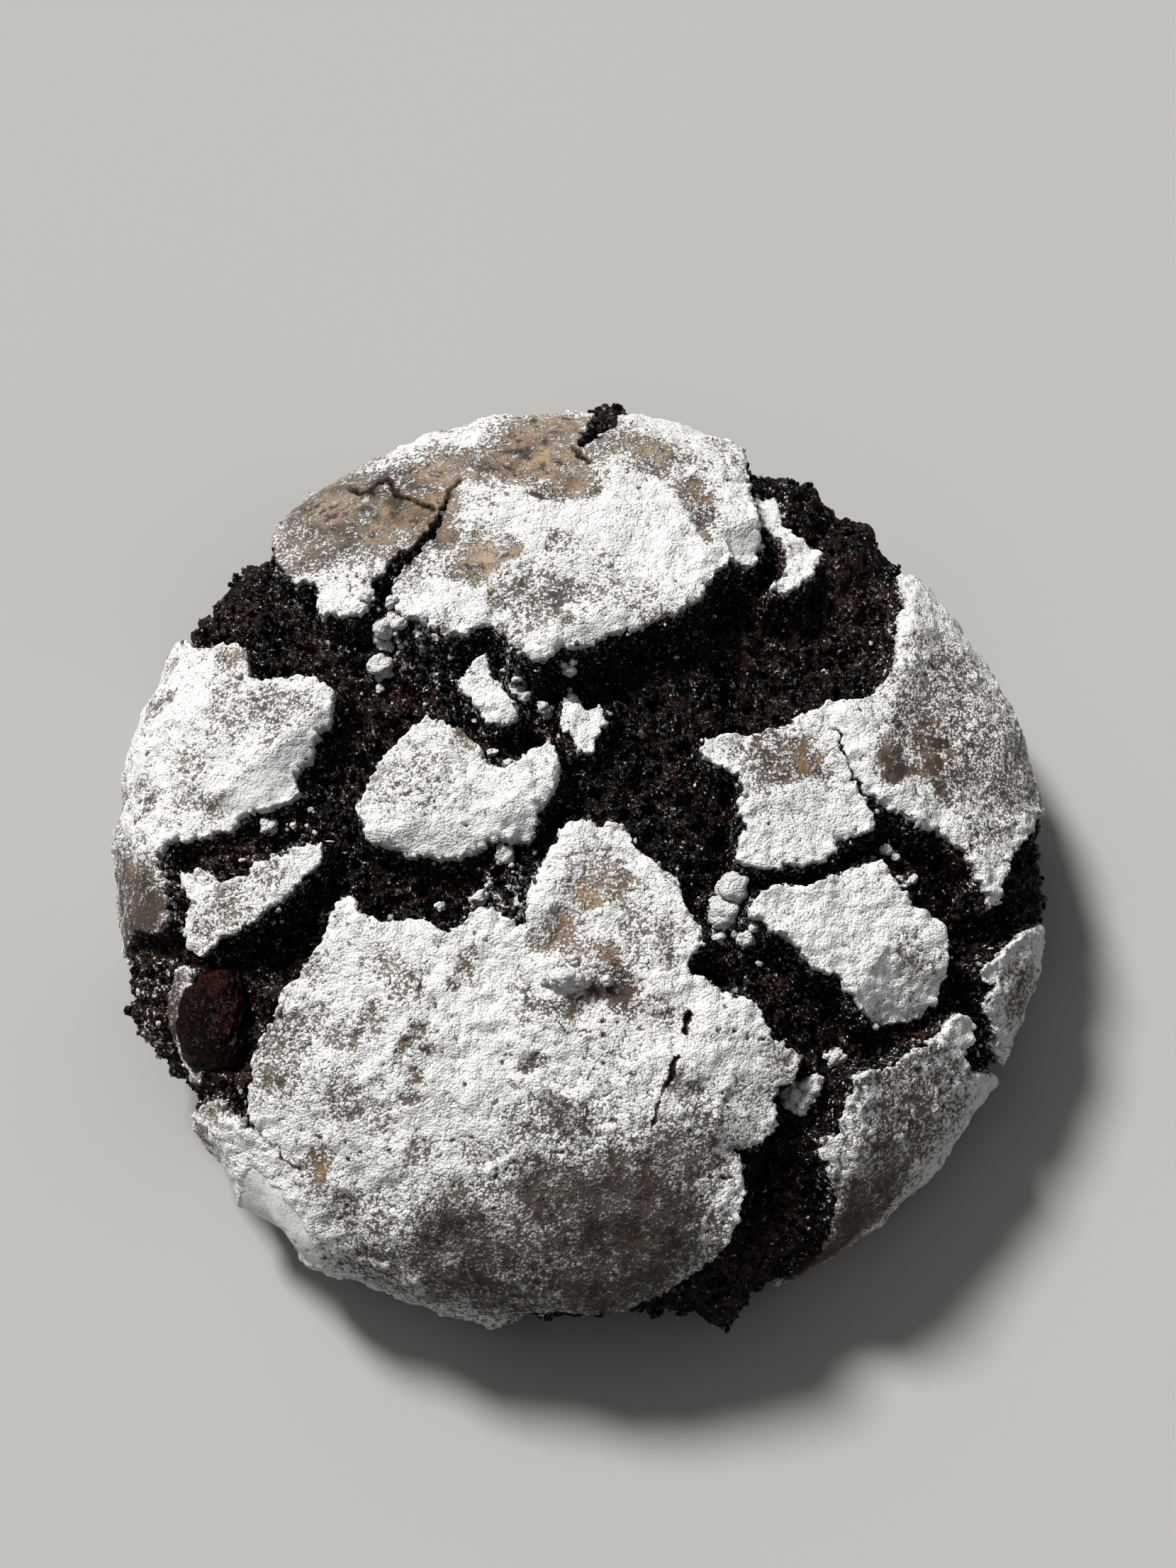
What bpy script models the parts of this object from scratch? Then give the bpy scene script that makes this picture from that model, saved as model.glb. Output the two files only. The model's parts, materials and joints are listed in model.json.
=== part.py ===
"""Chocolate crinkle cookie.

A thick domed cookie. Its sugared crust has split into plates that stand proud of the dark crumb,
sugar lumps lie on it, and a chocolate chip sits in a pocket of the crumb at one edge.

Places on the cookie are given in its unrolled skin: p and q are millimetres measured along the
skin from the apex, p towards +X and q towards +Y. The skin is the smooth dome that the crust
follows. Heights are measured outward from it. The origin is the middle of the footprint, on the
flat base's plane.
"""

import math
import random

import bpy
import numpy as np
from mathutils import Vector
from mathutils.geometry import delaunay_2d_cdt

MM = 0.001

# The dome, in millimetres.
HEIGHT = 22.0
BULGE_RADIUS = 40.0
BULGE_HEIGHT = 7.0
BASE_RADIUS = 36.5
DOME_POWER = 2.6
# How far the bulge lies from the axis, every 30 degrees from +X: the cookie isn't quite round.
PLAN_RADII = (40.0, 39.8, 41.3, 43.5, 42.6, 41.2, 40.0, 38.8, 39.2, 39.0, 39.2, 38.8)
# Where the dome's axis stands, so that the middle of the footprint is the origin.
AXIS_PLACE = (0.0, -2.5)

# The crust's plates: the corners of each outline in the skin, which a smooth curve joins.
# A plate with several outlines is their union.
PLATES = {
    "crown": [[
        (-15.0, 20.2), (-14.7, 17.0), (-12.8, 16.0), (-10.0, 14.8), (-7.7, 15.3), (-5.6, 14.5),
        (-4.4, 12.5), (-2.4, 12.4), (0.0, 13.2), (3.0, 14.7), (5.2, 15.4), (7.7, 17.2),
        (9.1, 17.7), (9.8, 19.4), (12.1, 22.8), (15.0, 24.3), (14.9, 28.0), (14.1, 31.0),
        (14.2, 39.0), (11.5, 43.5), (7.2, 46.0), (4.6, 42.5), (0.9, 37.0), (-0.1, 33.0),
        (-0.7, 36.5), (0.4, 40.5), (-2.0, 45.5), (-8.5, 48.0), (-17.5, 43.5), (-24.0, 36.0),
        (-26.5, 29.0), (-25.4, 24.0), (-23.8, 21.8), (-21.6, 21.2), (-21.4, 18.4), (-19.6, 17.6),
        (-17.6, 18.2), (-16.8, 21.0), (-13.4, 24.2), (-10.9, 28.4), (-11.5, 25.2), (-13.0, 22.7),
    ]],
    "left": [[
        (-36.6, 20.3), (-34.6, 19.0), (-32.8, 17.3), (-28.8, 16.5), (-28.1, 14.4), (-27.3, 12.9),
        (-22.3, 12.6), (-20.4, 10.6), (-20.6, 8.8), (-23.2, 5.2), (-24.3, 3.9), (-24.1, 2.4),
        (-28.9, 1.0), (-29.8, -0.2), (-32.6, -1.1), (-35.2, -0.9), (-36.2, -2.2), (-36.2, -7.4),
        (-37.8, -8.6), (-40.4, -7.6), (-44.5, -9.0), (-58.0, -6.0), (-58.0, 12.0), (-46.0, 23.5),
        (-40.0, 21.6),
    ]],
    "handle": [[
        (-21.8, -2.5), (-23.9, -2.6), (-25.6, -3.5), (-27.9, -3.8), (-28.6, -5.1), (-31.0, -5.0),
        (-32.2, -4.0), (-34.7, -4.2), (-33.8, -7.0), (-34.5, -9.6), (-33.2, -11.2), (-31.3, -10.8),
        (-26.2, -7.8), (-22.6, -4.8),
    ]],
    "kidney": [[
        (-1.8, 3.7), (-2.7, 5.2), (-5.4, 3.6), (-7.2, 3.9), (-10.2, 7.0), (-12.8, 7.5),
        (-14.8, 6.4), (-17.3, 3.1), (-18.4, 0.2), (-17.9, -2.2), (-15.4, -3.6), (-12.0, -4.2),
        (-9.6, -3.9), (-7.3, -2.7), (-4.4, -2.9), (-3.7, -0.6), (-1.9, 1.8),
    ]],
    "oval": [[
        (-7.8, 13.7), (-9.6, 11.6), (-8.8, 9.4), (-6.9, 7.2), (-5.2, 8.1), (-5.6, 9.6),
        (-7.2, 11.8),
    ]],
    "heart": [[(-1.3, 8.6), (-1.3, 6.4), (0.3, 4.6), (1.6, 7.0), (1.4, 8.6), (0.0, 8.4)]],
    "front": [
        [
            (-0.7, -1.6), (0.4, -1.4), (1.2, -1.9), (3.2, -1.4), (4.5, -4.0), (6.4, -5.2),
            (7.9, -7.0), (8.2, -9.3), (9.8, -11.3), (8.6, -13.8), (9.0, -16.5), (9.0, -27.0),
            (12.5, -29.5), (13.2, -32.0), (11.6, -37.5), (8.2, -40.6), (5.2, -43.0), (0.0, -44.0),
            (-5.0, -44.3), (-11.0, -50.0), (-22.0, -50.0), (-26.5, -44.0), (-24.6, -36.0),
            (-24.4, -31.0), (-28.2, -26.0), (-28.3, -21.8), (-25.6, -17.4), (-25.2, -16.0),
            (-21.4, -11.4), (-20.9, -9.2), (-19.8, -7.8), (-17.6, -9.9), (-13.4, -10.3),
            (-11.3, -11.5), (-8.2, -9.0), (-5.0, -10.9), (-4.4, -7.6), (-2.4, -3.6),
        ],
        [
            (7.0, -15.0), (11.5, -16.2), (13.9, -17.4), (16.1, -20.3), (18.0, -21.4),
            (17.4, -22.8), (15.4, -24.8), (16.1, -26.2), (15.2, -28.0), (12.0, -29.2),
            (8.0, -28.0), (7.0, -22.0),
        ],
        [
            (-24.3, -29.9), (-27.6, -27.5), (-30.4, -25.8), (-32.8, -24.4), (-37.0, -25.4),
            (-41.0, -28.0), (-47.0, -36.0), (-32.0, -48.0), (-20.0, -52.0), (-22.0, -38.0),
        ],
    ],
    "right": [[
        (30.0, 26.6), (28.3, 24.3), (28.4, 21.5), (27.5, 19.0), (27.0, 15.6), (25.7, 13.0),
        (23.6, 11.1), (21.0, 10.4), (20.0, 8.9), (22.0, 7.2), (21.9, 5.3), (24.0, 1.9),
        (27.0, -0.6), (31.0, -1.9), (33.2, -4.2), (34.8, -7.2), (36.2, -6.6), (36.0, -3.8),
        (38.2, -0.6), (42.0, 1.8), (49.0, 3.0), (54.0, 10.0), (50.0, 20.0), (44.0, 27.0),
        (37.0, 29.5), (33.0, 28.0),
    ]],
    "star": [[
        (9.8, 5.0), (10.8, 6.2), (15.1, 6.9), (17.4, 8.2), (19.6, 8.4), (21.4, 7.0),
        (21.3, 5.2), (22.9, 2.4), (24.4, -1.1), (21.5, -2.3), (20.3, -4.3), (16.9, -5.1),
        (13.3, -5.3), (13.3, -1.6), (12.8, -0.2), (13.0, 1.8), (11.2, 3.8),
    ]],
    "fish": [[
        (13.8, -9.4), (16.7, -7.0), (19.5, -7.0), (22.2, -5.1), (24.9, -4.5), (26.3, -6.7),
        (30.0, -9.4), (30.9, -12.6), (30.9, -14.6), (29.3, -17.4), (24.5, -18.3), (22.9, -16.9),
        (21.5, -14.8), (18.9, -14.1), (16.8, -11.8),
    ]],
    "southeast": [[
        (32.2, -17.0), (34.3, -18.0), (33.6, -20.8), (35.4, -22.0), (41.0, -22.5), (44.0, -27.0),
        (36.0, -38.0), (26.0, -47.0), (20.5, -46.5), (21.6, -40.0), (21.8, -33.5), (20.8, -31.0),
        (19.8, -28.2), (21.4, -27.3), (21.9, -24.4), (23.4, -22.3), (25.6, -22.3), (28.4, -20.3),
        (30.4, -19.3),
    ]],
    "far_east": [[
        (41.5, -7.6), (38.0, -9.6), (34.7, -13.0), (36.3, -14.1), (35.4, -15.4), (36.6, -17.2),
        (38.6, -19.8), (44.0, -20.0), (50.0, -14.0), (49.0, -8.0),
    ]],
    "north_east": [[
        (14.5, 32.0), (17.2, 33.1), (18.1, 31.5), (17.7, 29.0), (19.4, 27.3), (21.1, 26.8),
        (20.4, 24.4), (18.8, 22.3), (16.4, 21.2), (17.9, 24.2), (17.2, 26.8), (15.4, 29.2),
    ]],
    "chip_rim": [[
        (-37.0, -13.4), (-36.2, -14.6), (-36.2, -18.4), (-35.6, -21.2), (-37.4, -21.0),
        (-38.4, -18.6), (-37.9, -15.6),
    ]],
    "back": [[
        (13.5, 47.5), (20.0, 42.0), (27.0, 38.0), (31.0, 36.5), (34.0, 39.0), (30.0, 46.0),
        (20.0, 51.0),
    ]],
}

# How far each plate's middle stands out from the skin.
LIFT = {
    "crown": 0.9, "left": 0.3, "handle": -0.4, "kidney": 0.3, "oval": -0.7, "heart": -1.0,
    "front": 0.5, "right": 0.3, "star": 0.2, "fish": 0.6, "southeast": 0.2, "far_east": 0.0,
    "north_east": -0.9, "chip_rim": 0.1, "back": 0.2,
}

# Folds of the crust: a line in the skin, on whose right-hand side (looking from its first point
# to its second) the plate falls away at this slope, for at most this far.
FOLDS = {
    "fish": ((21.5, -15.0), (31.0, -11.4), 0.55, 6.0),
    "kidney": ((-19.0, -2.6), (-3.0, 0.4), 0.30, 4.0),
    "left": ((-31.0, 1.4), (-21.0, 9.4), 0.35, 4.0),
}

# Ridges of the crust: a line in the skin, and the height and half-width of its crest.
RIDGES = [
    ((-24.4, -30.0), (-25.6, -44.0), 1.1, 5.0),
    ((-1.5, -12.0), (1.5, -3.0), 0.8, 5.0),
    ((-18.8, -10.0), (-13.0, -20.0), 0.6, 4.0),
]

CRUMB_DEPTH = 3.0       # of the crumb below the skin on top of the dome
CRUMB_DEPTH_SIDE = 0.9  # of the crumb below the skin at the bulge
CRUMB_GRAIN = 0.6       # how uneven the crumb is
# Knobs and dips of the crumb: place in the skin, radius, height.
KNOBS = [
    (3.0, 42.0, 2.6, 3.0), (20.0, 35.0, 4.0, 2.2), (25.5, 30.5, 3.5, 1.6), (-33.5, 21.5, 2.2, 1.4),
    (13.5, -46.5, 3.0, 2.6), (-41.5, -15.0, 3.5, 1.6), (42.5, -3.5, 3.0, 1.2),
    (13.0, 16.0, 6.0, -1.4), (21.0, 18.0, 5.0, -1.2), (-27.0, -12.0, 4.5, -1.6),
    (33.0, -10.0, 4.0, -1.2), (16.0, -33.0, 4.0, -1.4), (-7.0, -6.5, 3.0, 0.8),
]

RAGGED = 0.28       # how far a plate's edge strays from its outline
RIM_STEP = 1.5      # between points along a plate's edge
WALL_RUN = 0.5      # from a plate's edge to the foot of its wall
BRINK_RUN = 0.8     # from a plate's edge in to where its top is level
BRINK_DROP = 0.22   # of the edge below the plate's top there
MESH_STEP = 2.3     # between points elsewhere
CRUST_GRAIN = 0.10  # how uneven the crust is

# Sugar lumps: place in the skin, radius. The first ones are the largest.
LUMPS = [
    (13.1, -6.6, 1.45), (12.1, -9.3, 1.25), (14.4, -11.6, 1.1), (18.6, -24.4, 1.3),
    (-26.1, -0.5, 0.75), (21.8, -21.2, 0.9), (-1.6, -15.2, 1.0), (-8.9, -7.3, 0.75),
    (-3.0, 9.8, 0.8), (-0.8, 9.6, 0.9), (-16.9, 15.0, 0.8), (26.4, -5.6, 0.8),
    (-15.9, 17.4, 0.9), (-5.0, 11.3, 0.9),
]

# The chocolate chip: its middle in the skin, its half-lengths across, along and out of the
# skin, how deep its middle lies, and the gap round it.
CHIP_PLACE = (-32.3, -17.0)
CHIP_HALF = (3.1, 4.4, 2.8)
CHIP_DEPTH = 2.3
CHIP_GAP = 0.3


def dome_profile():
    """Radius, height and run along the skin, from the apex down to the edge of the base."""
    upper = np.linspace(0.0, math.pi / 2, 300)
    lower = np.linspace(0.0, math.pi / 2, 100)[1:]
    radius = np.concatenate([
        BULGE_RADIUS * np.sin(upper) ** (2 / DOME_POWER),
        BASE_RADIUS + (BULGE_RADIUS - BASE_RADIUS) * np.cos(lower),
    ])
    height = np.concatenate([
        BULGE_HEIGHT + (HEIGHT - BULGE_HEIGHT) * np.cos(upper) ** (2 / DOME_POWER),
        BULGE_HEIGHT * (1 - np.sin(lower)),
    ])
    run = np.concatenate([[0.0], np.cumsum(np.hypot(np.diff(radius), np.diff(height)))])
    return radius, height, run


PROFILE_RADIUS, PROFILE_HEIGHT, PROFILE_RUN = dome_profile()
SKIN_END = PROFILE_RUN[-1]


def spline(a, b, c, d, t):
    """The smooth curve from b to c whose neighbours are a and d."""
    return 0.5 * (2 * b + (c - a) * t + (2 * a - 5 * b + 4 * c - d) * t ** 2
                  + (3 * b - a - 3 * c + d) * t ** 3)


def plan_scale(angle):
    """How much wider the plan is at this angle than a round one."""
    radii = np.array(PLAN_RADII) / BULGE_RADIUS
    count = len(radii)
    place = np.mod(angle / (2 * math.pi) * count, count)
    first = np.floor(place).astype(int)
    around = [radii[(first + k) % count] for k in (-1, 0, 1, 2)]
    return spline(*around, place - first)


def skin(p, q):
    """Points of the smooth dome, in millimetres, for places in the unrolled skin."""
    run = np.hypot(p, q)
    angle = np.arctan2(q, p)
    out = np.interp(run, PROFILE_RUN, PROFILE_RADIUS) * plan_scale(angle)
    up = np.interp(run, PROFILE_RUN, PROFILE_HEIGHT)
    axis_x, axis_y = AXIS_PLACE
    return np.stack([axis_x + out * np.cos(angle), axis_y + out * np.sin(angle), up], axis=-1)


def skin_normal(p, q):
    """Outward unit normals of the smooth dome."""
    d = 0.3
    normal = np.cross(skin(p + d, q) - skin(p - d, q), skin(p, q + d) - skin(p, q - d))
    return normal / np.linalg.norm(normal, axis=-1, keepdims=True)


def smooth_outline(corners, step):
    """Points about one step apart on the closed smooth curve through the corners."""
    corners = [np.array(c) for c in corners]
    points = []
    for i in range(len(corners)):
        a, b, c, d = (corners[(i + k) % len(corners)] for k in (-1, 0, 1, 2))
        parts = max(1, round(float(np.linalg.norm(c - b)) / step))
        points += [spline(a, b, c, d, k / parts) for k in range(parts)]
    return np.array(points)


def inside(outline, points):
    """Which points lie inside a closed outline."""
    x, y = points[:, 0:1], points[:, 1:2]
    x1, y1 = outline.T
    x2, y2 = np.roll(outline, -1, axis=0).T
    rising = (y1 > y) != (y2 > y)
    drop = np.where(y2 == y1, 1.0, y2 - y1)
    crossing = x < (x2 - x1) * (y - y1) / drop + x1
    return (rising & crossing).sum(axis=1) % 2 == 1


def distance(outline, points):
    """How far each point lies from a closed outline."""
    start = outline
    span = np.roll(outline, -1, axis=0) - start
    away = points[:, None, :] - start
    along = np.clip((away * span).sum(-1) / (span ** 2).sum(-1), 0.0, 1.0)
    return np.linalg.norm(away - along[..., None] * span, axis=-1).min(axis=1)


def line_side(line_from, line_to, points):
    """How far each point lies to the right of a line."""
    start = np.array(line_from)
    way = np.array(line_to) - start
    way = way / np.linalg.norm(way)
    away = points - start
    return away[:, 0] * way[1] - away[:, 1] * way[0]


def ridge_height(line_from, line_to, crest, half_width, points):
    """A crest that falls off evenly to both sides of a line and past its ends."""
    start = np.array(line_from)
    span = np.array(line_to) - start
    away = points - start
    along = np.clip((away @ span) / (span @ span), 0.0, 1.0)
    off = np.linalg.norm(away - along[:, None] * span, axis=1)
    return crest * np.clip(1 - off / half_width, 0.0, 1.0)


def base_fade(points):
    """1 over the cookie, falling to 0 where the skin meets the base, which stays flat."""
    return np.clip((SKIN_END - np.hypot(*points.T)) / 5.0, 0.0, 1.0)


def crust_height(plate, points, grain):
    """How far a plate's top stands out from the skin."""
    height = np.full(len(points), LIFT[plate])
    height += 0.30 * np.sin(points[:, 0] * 0.55 + 1.0) * np.sin(points[:, 1] * 0.47)
    height += 0.18 * np.sin(points[:, 0] * 1.1 - points[:, 1] * 0.8)
    for ridge in RIDGES:
        height += ridge_height(*ridge, points)
    if plate in FOLDS:
        line_from, line_to, slope, reach = FOLDS[plate]
        height -= slope * np.clip(line_side(line_from, line_to, points), 0.0, reach)
    return (height + CRUST_GRAIN * grain) * base_fade(points)


def crumb_height(points, grain):
    """How far the crumb lies out from the skin, which is below it nearly everywhere."""
    run = np.hypot(*points.T)
    side = np.clip((run - 28.0) / 14.0, 0.0, 1.0)
    height = -(CRUMB_DEPTH + (CRUMB_DEPTH_SIDE - CRUMB_DEPTH) * side)
    for p, q, radius, rise in KNOBS:
        off = np.hypot(points[:, 0] - p, points[:, 1] - q) / radius
        height = height + rise * np.exp(-off ** 2)
    return (height + CRUMB_GRAIN * grain) * base_fade(points)


def raised(points, height):
    """Points of the cookie's surface, in metres."""
    p, q = points.T
    return (skin(p, q) + skin_normal(p, q) * height[:, None]) * MM


def plate_rims(rng):
    """Each plate's edge as runs of points, closed or cut off where the plate meets the base
    or another outline of its own, and the whole outlines."""
    outlines = []
    for plate, shapes in PLATES.items():
        for corners in shapes:
            outline = smooth_outline(corners, RIM_STEP)
            outlines.append((plate, outline))
    rims = []
    for index, (plate, outline) in enumerate(outlines):
        way = np.roll(outline, -1, axis=0) - np.roll(outline, 1, axis=0)
        way /= np.linalg.norm(way, axis=1, keepdims=True)
        stray = np.array([rng.uniform(-RAGGED, RAGGED) for _ in outline])
        ragged = outline + np.stack([way[:, 1], -way[:, 0]], axis=1) * stray[:, None]
        keep = np.hypot(*ragged.T) < SKIN_END - 1.5
        for other, (other_plate, other_outline) in enumerate(outlines):
            if other != index and other_plate == plate:
                keep &= ~inside(other_outline, ragged)
        rims.append((plate, ragged, keep))
    return rims


def hex_places(step, rng):
    """Places about one step apart over the whole skin, each a little off the even pattern."""
    places = []
    rows = int(SKIN_END / (step * 0.866)) + 1
    for row in range(-rows, rows + 1):
        for column in range(-rows, rows + 1):
            p = (column + 0.5 * (row % 2)) * step + rng.uniform(-0.2, 0.2) * step
            q = row * step * 0.866 + rng.uniform(-0.2, 0.2) * step
            if math.hypot(p, q) < SKIN_END - 0.6 * step:
                places.append((p, q))
    return np.array(places)


def thinned(places, taken, clearance):
    """The places that lie at least the clearance from every taken one."""
    apart = np.linalg.norm(places[:, None, :] - taken[None, :, :], axis=-1).min(axis=1)
    return places[apart >= clearance]


def offset_places(rims, run):
    """Places beside the plates' edges: outside them for a positive run, inside for a negative
    one, wherever no edge is nearer than the run."""
    found = []
    for _, outline, keep in rims:
        way = np.roll(outline, -1, axis=0) - np.roll(outline, 1, axis=0)
        way /= np.linalg.norm(way, axis=1, keepdims=True)
        area = (outline[:, 0] * np.roll(outline[:, 1], -1)
                - np.roll(outline[:, 0], -1) * outline[:, 1]).sum()
        outward = np.stack([way[:, 1], -way[:, 0]], axis=1) * (1.0 if area > 0 else -1.0)
        found.append((outline + outward * run)[keep])
    places = np.concatenate(found)
    nearest = np.full(len(places), np.inf)
    for _, outline, _ in rims:
        nearest = np.minimum(nearest, distance(outline, places))
    return places[nearest > 0.8 * abs(run)]


def cookie_surface(rng):
    """The places of the cookie's surface in the skin, their heights, and its triangles."""
    rims = plate_rims(rng)
    rim_points = np.concatenate([outline[keep] for _, outline, keep in rims])
    edges = []
    start = 0
    for _, _, keep in rims:
        number = np.where(keep, np.cumsum(keep) - 1 + start, -1)
        for i in range(len(keep)):
            a, b = int(number[i]), int(number[(i + 1) % len(keep)])
            if a >= 0 and b >= 0 and a != b:
                edges.append((a, b))
        start += int(keep.sum())
    feet = offset_places(rims, WALL_RUN)
    brinks = offset_places(rims, -BRINK_RUN)
    brinks = thinned(brinks, feet, 0.6)
    near = np.concatenate([rim_points, feet, brinks])
    filling = thinned(hex_places(MESH_STEP, rng), near, 0.62 * MESH_STEP)
    turns = np.linspace(0, 2 * math.pi, 72, endpoint=False)
    border = np.stack([np.cos(turns), np.sin(turns)], axis=1) * SKIN_END
    places = np.concatenate([near, filling, border])
    border_start = len(places) - len(border)
    loop = [border_start + i for i in range(len(border))]
    edges += [(loop[i], loop[(i + 1) % len(loop)]) for i in range(len(loop))]
    result = delaunay_2d_cdt([Vector(p) for p in places], edges, [], 0, 1e-4)
    points = np.array([tuple(v) for v in result[0]])
    triangles = np.array([tuple(t) for t in result[2]])
    on_rim = np.array([any(i < len(rim_points) for i in origin) for origin in result[3]])
    on_border = np.hypot(*points.T) > SKIN_END - 1e-3

    grain = np.array([rng.uniform(-1.0, 1.0) for _ in points])
    height = crumb_height(points, grain)
    for plate, outline, _ in rims:
        near_rim = distance(outline, points)
        mine = inside(outline, points) | (on_rim & (near_rim < 1e-3))
        drop = BRINK_DROP * (near_rim[mine] < 0.5 * BRINK_RUN)
        height[mine] = crust_height(plate, points[mine], grain[mine]) - drop
    height[on_border] = 0.0
    return points, height, triangles, on_border


def cookie_mesh(rng):
    """The closed cookie: the surface over the dome, and the flat base as one fan."""
    points, height, triangles, on_border = cookie_surface(rng)
    vertices = raised(points, height)
    vertices[on_border, 2] = 0.0
    rim = np.flatnonzero(on_border)
    rim = rim[np.argsort(np.arctan2(points[rim, 1], points[rim, 0]))]
    centre = len(vertices)
    vertices = np.vstack([vertices, [[*np.array(AXIS_PLACE) * MM, 0.0]]])
    base = [(centre, int(rim[(i + 1) % len(rim)]), int(rim[i])) for i in range(len(rim))]
    faces = [tuple(int(v) for v in t) for t in triangles] + base
    mesh = bpy.data.meshes.new("cookie")
    mesh.from_pydata([tuple(v) for v in vertices], [], faces)
    mesh.validate()
    return mesh


def lump_mesh(name, place, radius, sides, rings, rng):
    """A rough round lump: rings of points about a ball, closed by its two poles."""
    p, q = (np.array([c]) for c in place)
    out = skin_normal(p, q)[0]
    centre = skin(p, q)[0] + out * (surface_height(place) + 0.35 * radius)
    vertices = []
    for ring in range(1, rings):
        tip = math.pi * ring / rings
        for side in range(sides):
            turn = 2 * math.pi * (side + 0.5 * (ring % 2)) / sides
            size = radius * rng.uniform(0.85, 1.1)
            vertices.append((size * math.sin(tip) * math.cos(turn),
                             size * math.sin(tip) * math.sin(turn), size * math.cos(tip)))
    vertices += [(0.0, 0.0, radius), (0.0, 0.0, -radius)]
    top, bottom = len(vertices) - 2, len(vertices) - 1
    faces = []
    for side in range(sides):
        after = (side + 1) % sides
        faces.append((top, side, after))
        last = (rings - 2) * sides
        faces.append((bottom, last + after, last + side))
        for ring in range(rings - 2):
            a, b = ring * sides + side, ring * sides + after
            c, d = a + sides, b + sides
            faces += [(a, c, d), (a, d, b)] if ring % 2 else [(a, c, b), (b, c, d)]
    mesh = bpy.data.meshes.new(name)
    mesh.from_pydata([tuple((centre + np.array(v)) * MM) for v in vertices], [], faces)
    return mesh


def surface_height(place):
    """How far the cookie's surface stands out from the skin at one place."""
    point = np.array([place])
    for plate, shapes in PLATES.items():
        if any(inside(smooth_outline(corners, RIM_STEP), point)[0] for corners in shapes):
            return float(crust_height(plate, point, np.zeros(1))[0])
    return float(crumb_height(point, np.zeros(1))[0])


def chip_mesh(name, grow):
    """The chocolate chip, a blunt drop lying on its side, grown by this much all round."""
    p, q = (np.array([c]) for c in CHIP_PLACE)
    out = skin_normal(p, q)[0]
    along = skin(p, q + 0.5)[0] - skin(p, q - 0.5)[0]
    along -= out * (along @ out)
    along /= np.linalg.norm(along)
    across = np.cross(along, out)
    centre = skin(p, q)[0] - out * CHIP_DEPTH
    sides, rings = 16, 10
    vertices = []
    for ring in range(rings + 1):
        tip = math.pi * ring / rings
        count = 1 if ring in (0, rings) else sides
        for side in range(count):
            turn = 2 * math.pi * side / sides
            taper = 1.0 + 0.18 * math.cos(tip)
            vertices.append(
                across * (CHIP_HALF[0] * taper + grow) * math.sin(tip) * math.cos(turn)
                + out * (CHIP_HALF[2] * taper + grow) * math.sin(tip) * math.sin(turn)
                - along * (CHIP_HALF[1] + grow) * math.cos(tip)
                + centre
            )
    faces = []
    last = len(vertices) - 1
    for side in range(sides):
        after = (side + 1) % sides
        faces.append((0, 1 + side, 1 + after))
        faces.append((last, last - sides + after, last - sides + side))
        for ring in range(rings - 2):
            a = 1 + ring * sides
            faces.append((a + side, a + sides + side, a + sides + after, a + after))
    mesh = bpy.data.meshes.new(name)
    mesh.from_pydata([tuple(v * MM) for v in vertices], [], faces)
    return mesh


def material(name, colour, roughness):
    """A Principled material of one colour."""
    made = bpy.data.materials.new(name)
    made.use_nodes = True
    shader = made.node_tree.nodes["Principled BSDF"]
    shader.inputs["Base Color"].default_value = (*colour, 1.0)
    shader.inputs["Roughness"].default_value = roughness
    shader.inputs["Metallic"].default_value = 0.0
    return made


def add_object(name, mesh, made_of, collection):
    """An object with its mesh and material, linked to a collection."""
    mesh.materials.append(made_of)
    made = bpy.data.objects.new(name, mesh)
    collection.objects.link(made)
    return made


def apply_modifiers(target):
    """Turns what the object's modifiers make into its own mesh."""
    bpy.context.view_layer.update()
    shape = bpy.data.meshes.new_from_object(
        target.evaluated_get(bpy.context.evaluated_depsgraph_get()))
    target.modifiers.clear()
    target.data = shape


def fuse(target, others):
    """Joins a collection's shapes to the target by one Boolean union, then removes them."""
    union = target.modifiers.new("fuse", "BOOLEAN")
    union.operation = "UNION"
    union.operand_type = "COLLECTION"
    union.collection = others
    union.solver = "EXACT"
    apply_modifiers(target)
    for made in list(others.objects):
        bpy.data.objects.remove(made)
    bpy.data.collections.remove(others)


def cut(target, cutter):
    """Cuts a shape out of the target, then removes the cutter."""
    pocket = target.modifiers.new("pocket", "BOOLEAN")
    pocket.operation = "DIFFERENCE"
    pocket.object = cutter
    pocket.solver = "EXACT"
    apply_modifiers(target)
    bpy.data.objects.remove(cutter)


def build():
    for old in list(bpy.data.objects):
        bpy.data.objects.remove(old)
    rng = random.Random(7)
    scene = bpy.context.scene.collection
    crust = material("sugared_crust", (0.62, 0.58, 0.54), 0.85)
    chocolate = material("chocolate", (0.042, 0.016, 0.010), 0.45)
    cookie = add_object("cookie", cookie_mesh(rng), crust, scene)

    cutter = add_object("chip_pocket", chip_mesh("chip_pocket", CHIP_GAP), chocolate, scene)
    cut(cookie, cutter)

    lumps = bpy.data.collections.new("lumps")
    scene.children.link(lumps)
    for number, (p, q, radius) in enumerate(LUMPS):
        mesh = lump_mesh(f"lump_{number}", (p, q), radius, 6, 4, rng)
        add_object(f"lump_{number}", mesh, crust, lumps)
    fuse(cookie, lumps)

    add_object("chocolate_chip", chip_mesh("chocolate_chip", 0.0), chocolate, scene)
    for made in scene.objects:
        made.data.shade_smooth()
        made.data.set_sharp_from_angle(angle=math.radians(50))


build()
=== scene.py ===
"""Looks of a chocolate crinkle cookie.

Places are given in the cookie's unrolled skin: p and q are millimetres along the smooth dome from
its apex, p towards +X and q towards +Y, and heights stand outward from the dome. Every crust
plate and the crumb is a height worked out over p and q, trimmed to its own ragged edge and
closed by a broken edge and an underside.
"""

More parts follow.
